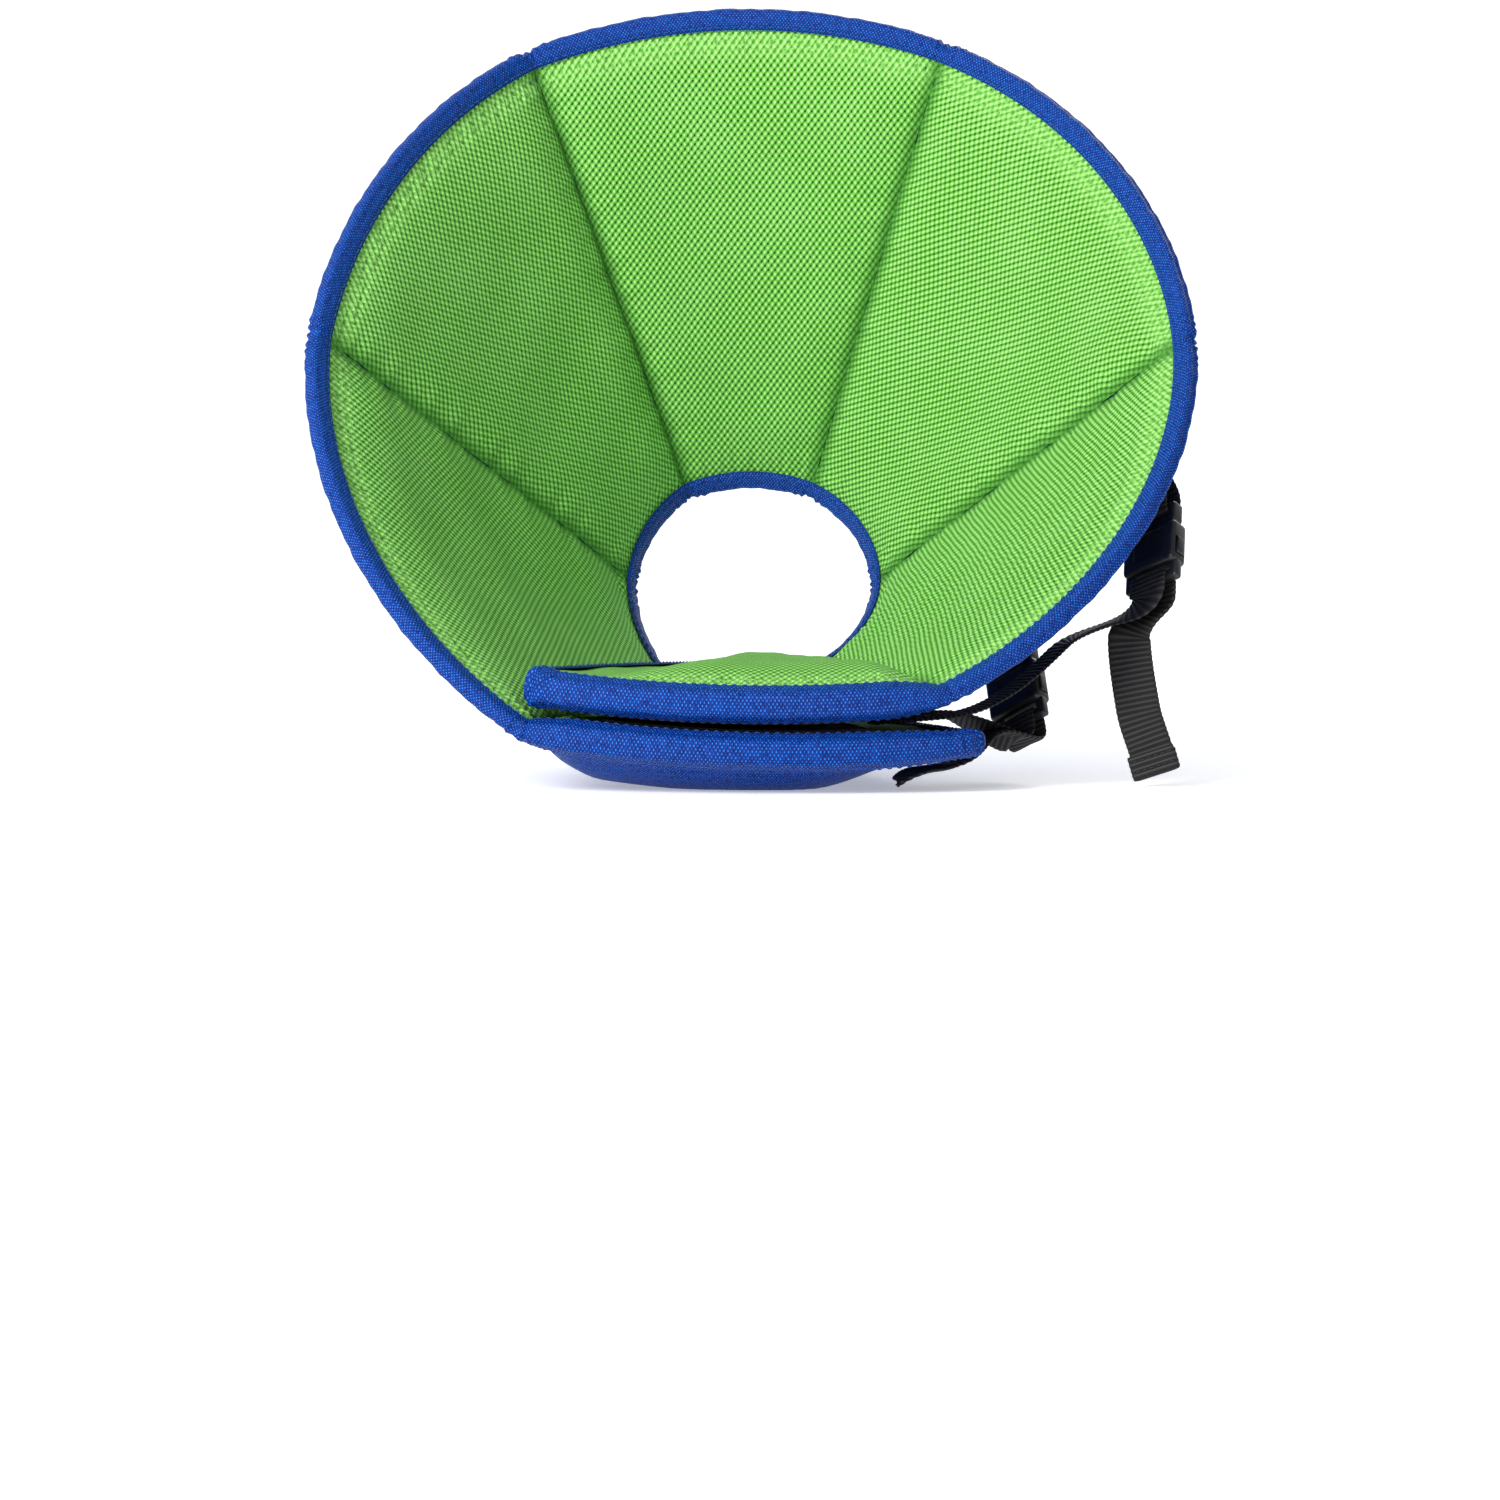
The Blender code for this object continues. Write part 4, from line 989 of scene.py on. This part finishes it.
def webbing(name, path, replaced, pointed=0.0, folded=0.0):
    """A ribbed strap along a path. Its last stretch narrows to a point where pointed gives a length, and
    spreads a little where folded gives one."""
    points, widths = np.array([row[0] for row in path]), np.array([row[1] for row in path])
    lengths = np.concatenate([[0], np.cumsum(np.linalg.norm(np.diff(points, axis=0), axis=1))])
    places = np.linspace(0, lengths[-1], int(lengths[-1] / WEB_STEP))
    points = np.stack([np.interp(places, lengths, points[:, k]) for k in range(3)], 1)
    widths = np.stack([np.interp(places, lengths, widths[:, k]) for k in range(3)], 1)
    for _ in range(14):
        points[1:-1] = (points[:-2] + 2 * points[1:-1] + points[2:]) / 4
    run = unit(np.gradient(points, axis=0))
    thick = unit(np.cross(run, widths))
    widths = unit(np.cross(thick, run))
    rib = np.cos(math.tau * places / RIB)
    narrow = np.clip((lengths[-1] - places) / pointed, 0.12, 1) if pointed else np.ones(len(places))
    narrow = np.where(lengths[-1] - places < folded, 1.09, narrow)
    shares = np.sin(np.linspace(-math.pi / 2, math.pi / 2, WEB_ACROSS))
    rings, pattern = [], []
    for side, order in ((1, shares), (-1, shares[::-1])):
        for share in order:
            rounded = (1 - abs(share) ** 8) ** 0.5
            height = (WEB / 2 + RIB_HEIGHT * (rib - 0.6)) * max(rounded, 0.15) * side
            reach = WEB_WIDTH / 2 * share * narrow * (1 + 0.010 * rib)
            rings.append(points + thick * height[:, None] + widths * reach[:, None])
            pattern.append(np.stack([places, np.full(len(places), share * WEB_WIDTH / 2)], -1))
    rings, pattern = np.stack(rings, 1), np.stack(pattern + pattern[:1], 1)
    strap = loft(name, rings, BLACK_WEBBING, pattern, capped=True)
    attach(strap, "root")
    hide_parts(replaced)


def on_panel(place, raised):
    return face(1 + place[0], RIM - place[1], OUTSIDE, raised)


BLACK_THREAD = thread_finish("black_thread", (0.03, 0.03, 0.03), 0.6)
BUCKLE_PLACES = {}
for name, from_rim, hold, clear, near, far in STRAPS:
    # The buckle: its x runs down the strap and its z points away from the panel
    out = RIM - from_rim
    origin, x, y = (np.array(row) for row in HANGING[name][0])
    x = unit(x)
    z = unit(np.cross(x, y))
    y = np.cross(z, x)
    origin = origin + UP * FLOOR
    BUCKLE_PLACES[name] = (x, y, z, origin)
    bar_turn = round_bar(SOCKET_FAR, SOCKET_FAR - BAR - SLOT / 2, LOOP_HALF, 1)
    bar_turn = [(origin + x * a + z * b, y) for a, b in bar_turn]
    loop_turn = round_bar(PLUG_FAR, PLUG_FAR + BAR + SLOT / 2, PLUG_THICK / 2, -1)
    loop_turn = [(origin + x * a + z * b, y) for a, b in loop_turn]

    # The strap: sewn on the flap, out past its end, round the socket's bar and down
    width = float(per_panel(STRIP_END - 0.1, out))
    over_tape = LINING + TAPE + 3 * GAP + FACET_GAP + WEB / 2
    run = unit(middle(STRIP_END, out) - middle(STRIP_END - 0.1, out))
    lead = []
    for distance in (SEWN, LAP, 0):
        at = STRIP_END - distance / width
        level = over_tape + float(padding(STRIP_END - SEWN / width, out, INSIDE) - padding(at, out, INSIDE))
        lead.append((face(at, out, INSIDE, level), run, outwards(at, out)))
    if hold:
        up_panel = unit(on_panel((hold[0] + 0.05, hold[1]), 0) - on_panel((hold[0] - 0.05, hold[1]), 0))
        lead.append((on_panel(hold, clear), up_panel, outwards(1 + hold[0], out)))
    lead.append((bar_turn[0][0], -x, bar_turn[0][1]))
    lead = in_sense(lead, lead[0][2])
    bar_turn = in_sense(bar_turn, lead[-1][2])
    hanging = [(bar_turn[-1][0], x, bar_turn[-1][1])]
    for at, run, across in HANGING[name][1:]:
        hanging.append((np.array(at) + UP * FLOOR, unit(np.array(run)), unit(np.array(across))))
    hanging = in_sense(hanging, bar_turn[-1][1])
    tail = smooth_path(hanging, 24)[1:]
    if name == "front":
        # Its end is folded over towards the front, and sewn
        end, run, across = hanging[-1]
        over = unit(np.cross(run, across))
        over = over * (1 if over[1] < 0 else -1) * (WEB + 2 * GAP)
        tail += [(end + run * TAIL_FOLD * share, across) for share in np.linspace(0.1, 0.95, 8)]
        tail += [(end + run * TAIL_FOLD * 1.02 + over * 0.5, across)]
        tail += [(end + run * TAIL_FOLD * share + over, across) for share in np.linspace(0.95, 0.0, 9)]
    path = smooth_path(lead, 24)[:-1] + bar_turn + tail
    if name == "rear":
        webbing("ribbed_strap_rear", path, "strap_rear", pointed=0.006)
    else:
        webbing("ribbed_strap_front", path, "strap_front", folded=2.1 * TAIL_FOLD)
        # Two rows of stitches across the fold
        starts, ends = [], []
        for row in (0.0022, 0.0058):
            for share in np.arange(-0.43, 0.42, 0.16):
                base = end + run * row + over + over * (WEB / 2 / np.linalg.norm(over))
                starts.append(base + across * WEB_WIDTH * share)
                ends.append(base + across * WEB_WIDTH * (share + 0.12))
        normals = np.broadcast_to(unit(over), (len(starts), 3))
        row = stitches("tail_stitches", np.array(starts), np.array(ends), normals, BLACK_THREAD)

    # The short loop that holds the plug
    down_panel = unit(on_panel(near, 0) - on_panel(far, 0))
    layers = []
    for raised in (FACET_GAP + WEB / 2, FACET_GAP + WEB * 1.5 + 2 * GAP):
        layer = []
        for place in (far, near):
            normal = inward_normal(1 + place[0], RIM - place[1])
            layer.append((on_panel(place, raised), down_panel, np.cross(down_panel, normal)))
        layers.append(in_sense(layer, loop_turn[0][1]))
    to_plug = unit(x + 2 * down_panel)
    first = smooth_path([*layers[0], (loop_turn[0][0], to_plug, loop_turn[0][1])], 16)[:-1]
    back = [(point, -down_panel, across) for point, run, across in reversed(layers[1])]
    last = smooth_path([(loop_turn[-1][0], -to_plug, loop_turn[-1][1]), *back], 16)[1:]
    webbing(f"ribbed_anchor_{name}", first + loop_turn + last, f"strap_anchor_{name}")

# Buckles
# Side-release buckles of satin black plastic. The plug clicks into the socket, and its two buttons stand out
# through the socket's sides; the strap goes round the socket's bar, and the anchor's loop round the plug's.
KNOB_PROUD = 0.0008
PLUG_INSET = 0.001
ARM = 0.0022
WINDOW = (0.0068, 0.0140)
SLOT_HALF = WEB_WIDTH / 2 + SLOT_PLAY
POCKET_HALF = BUCKLE_WIDTH / 2 - BUCKLE_WALL
POCKET_THICK = BUCKLE_THICK / 2 - BUCKLE_WALL


def satin_plastic():
    """Moulded plastic with a fine, uneven grain."""
    tree, given, result = new_group(
        "satin_plastic",
        [("Pattern", "Vector", None), ("Tint", "Color", (0.006, 0.0065, 0.007, 1))],
        [("Color", "Color", None), ("Roughness", "Float", None), ("Height", "Float", None)],
    )
    grain = node(tree, "TexNoise", Vector=given["Pattern"], Scale=4000.0, Detail=2.0).outputs[0]
    wear = node(tree, "TexNoise", Vector=given["Pattern"], Scale=300.0, Detail=3.0).outputs[0]
    lighter = blend_colours(tree, wear, given["Tint"], (0.014, 0.015, 0.016, 1))
    tree.links.new(lighter, result["Color"])
    tree.links.new(calc(tree, "MULTIPLY_ADD", wear, 0.16, 0.24), result["Roughness"])
    tree.links.new(grain, result["Height"])
    return tree


SATIN = satin_plastic()


def moulded(name, replaced, first, joined, cut, place):
    """A moulded piece: boxes joined to the first one, and others cut from it. Each is (low, high, bevel)."""
    x, y, z, origin = place
    turned = Matrix(np.stack([x, y, z], 1).tolist()).to_4x4()
    turned.translation = origin + APEX
    surface = finish(f"black_plastic_{name}", SATIN, 0.00003, specular=0.5)
    bodies = []
    for low, high, bevel in (first, *joined, *cut):
        bm = bmesh.new()
        for vert in bmesh.ops.create_cube(bm, size=1)["verts"]:
            vert.co = Vector([(c + 0.5) * (b - a) + a for c, a, b in zip(vert.co, low, high)])
        if bevel:
            bmesh.ops.bevel(bm, geom=bm.edges[:], offset=bevel, segments=4, affect="EDGES", profile=0.5)
        bmesh.ops.recalc_face_normals(bm, faces=bm.faces)
        mesh = bpy.data.meshes.new(f"{name}_{len(bodies)}")
        bm.to_mesh(mesh)
        bm.free()
        bodies.append(bpy.data.objects.new(mesh.name, mesh))
        bpy.context.scene.collection.objects.link(bodies[-1])
    for k, tool in enumerate(bodies[1:]):
        modifier = bodies[0].modifiers.new(tool.name, "BOOLEAN")
        modifier.operation = "UNION" if k < len(joined) else "DIFFERENCE"
        modifier.object = tool
    bpy.context.view_layer.update()
    solid = bodies[0].evaluated_get(bpy.context.evaluated_depsgraph_get())
    mesh = bpy.data.meshes.new_from_object(solid)
    for body in bodies:
        bpy.data.objects.remove(body, do_unlink=True)
    mesh.name = name
    mesh.transform(turned)
    layer = mesh.uv_layers.new(name="pattern")
    corners = np.array([mesh.vertices[loop.vertex_index].co[:2] for loop in mesh.loops])
    layer.data.foreach_set("uv", corners.ravel())
    mesh.shade_smooth()
    mesh.set_sharp_from_angle(angle=math.radians(32))
    mesh.materials.clear()
    mesh.materials.append(surface)
    made = bpy.data.objects.new(name, mesh)
    bpy.context.scene.collection.objects.link(made)
    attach(made, "root")
    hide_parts(replaced)


for name, place in BUCKLE_PLACES.items():
    half, thick = BUCKLE_WIDTH / 2, BUCKLE_THICK / 2
    slot_from = BODY_LENGTH + SLOT_SET
    pocket_end = BODY_LENGTH - BUCKLE_WALL
    recess = [
        ((0.0025, -half + 0.0050, side * thick - 0.0005), (pocket_end - 0.002, half - 0.0050, side * thick + 0.0005), 0.0004)
        for side in (-1, 1)
    ]
    moulded(
        f"buckle_socket_shell_{name}",
        f"buckle_socket_{name}",
        ((0, -half, -thick), (BODY_LENGTH, half, thick), 0.0019),
        [((pocket_end, -half, -LOOP_HALF), (SOCKET_FAR, half, LOOP_HALF), 0.0010)],
        [
            ((slot_from, -SLOT_HALF, -BUCKLE_THICK), (slot_from + SLOT, SLOT_HALF, BUCKLE_THICK), 0),
            ((-BAR, -POCKET_HALF, -POCKET_THICK), (pocket_end, POCKET_HALF, POCKET_THICK), 0.0004),
            ((WINDOW[0], -BUCKLE_WIDTH, -POCKET_THICK), (WINDOW[1], BUCKLE_WIDTH, POCKET_THICK), 0),
            *recess,
        ],
        place,
    )
    half, thick = BUCKLE_WIDTH / 2 - PLUG_INSET, PLUG_THICK / 2
    inside, reach = POCKET_THICK - GAP, WINDOW[1] - GAP
    joined = [((-BAR, -ARM / 2, -inside), (WINDOW[1], ARM / 2, inside), 0.0004)]
    for side in (-1, 1):
        outer, inner = side * (POCKET_HALF - 2 * GAP), side * (POCKET_HALF - 2 * GAP - ARM)
        joined.append(((-BAR, min(outer, inner), -inside), (reach, max(outer, inner), inside), 0.0004))
        knob = side * (BUCKLE_WIDTH / 2 + KNOB_PROUD)
        low, high = min(knob, inner), max(knob, inner)
        joined.append(((WINDOW[0] + GAP, low, -inside + GAP), (reach, high, inside - GAP), 0.0006))
    slot_from = PLUG_FAR + BAR
    moulded(
        f"buckle_plug_shell_{name}",
        f"buckle_plug_{name}",
        ((PLUG_FAR, -half, -thick), (-GAP, half, thick), 0.0011),
        joined,
        [((slot_from, -SLOT_HALF, -BUCKLE_THICK), (slot_from + SLOT, SLOT_HALF, BUCKLE_THICK), 0)],
        place,
    )

low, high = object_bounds()
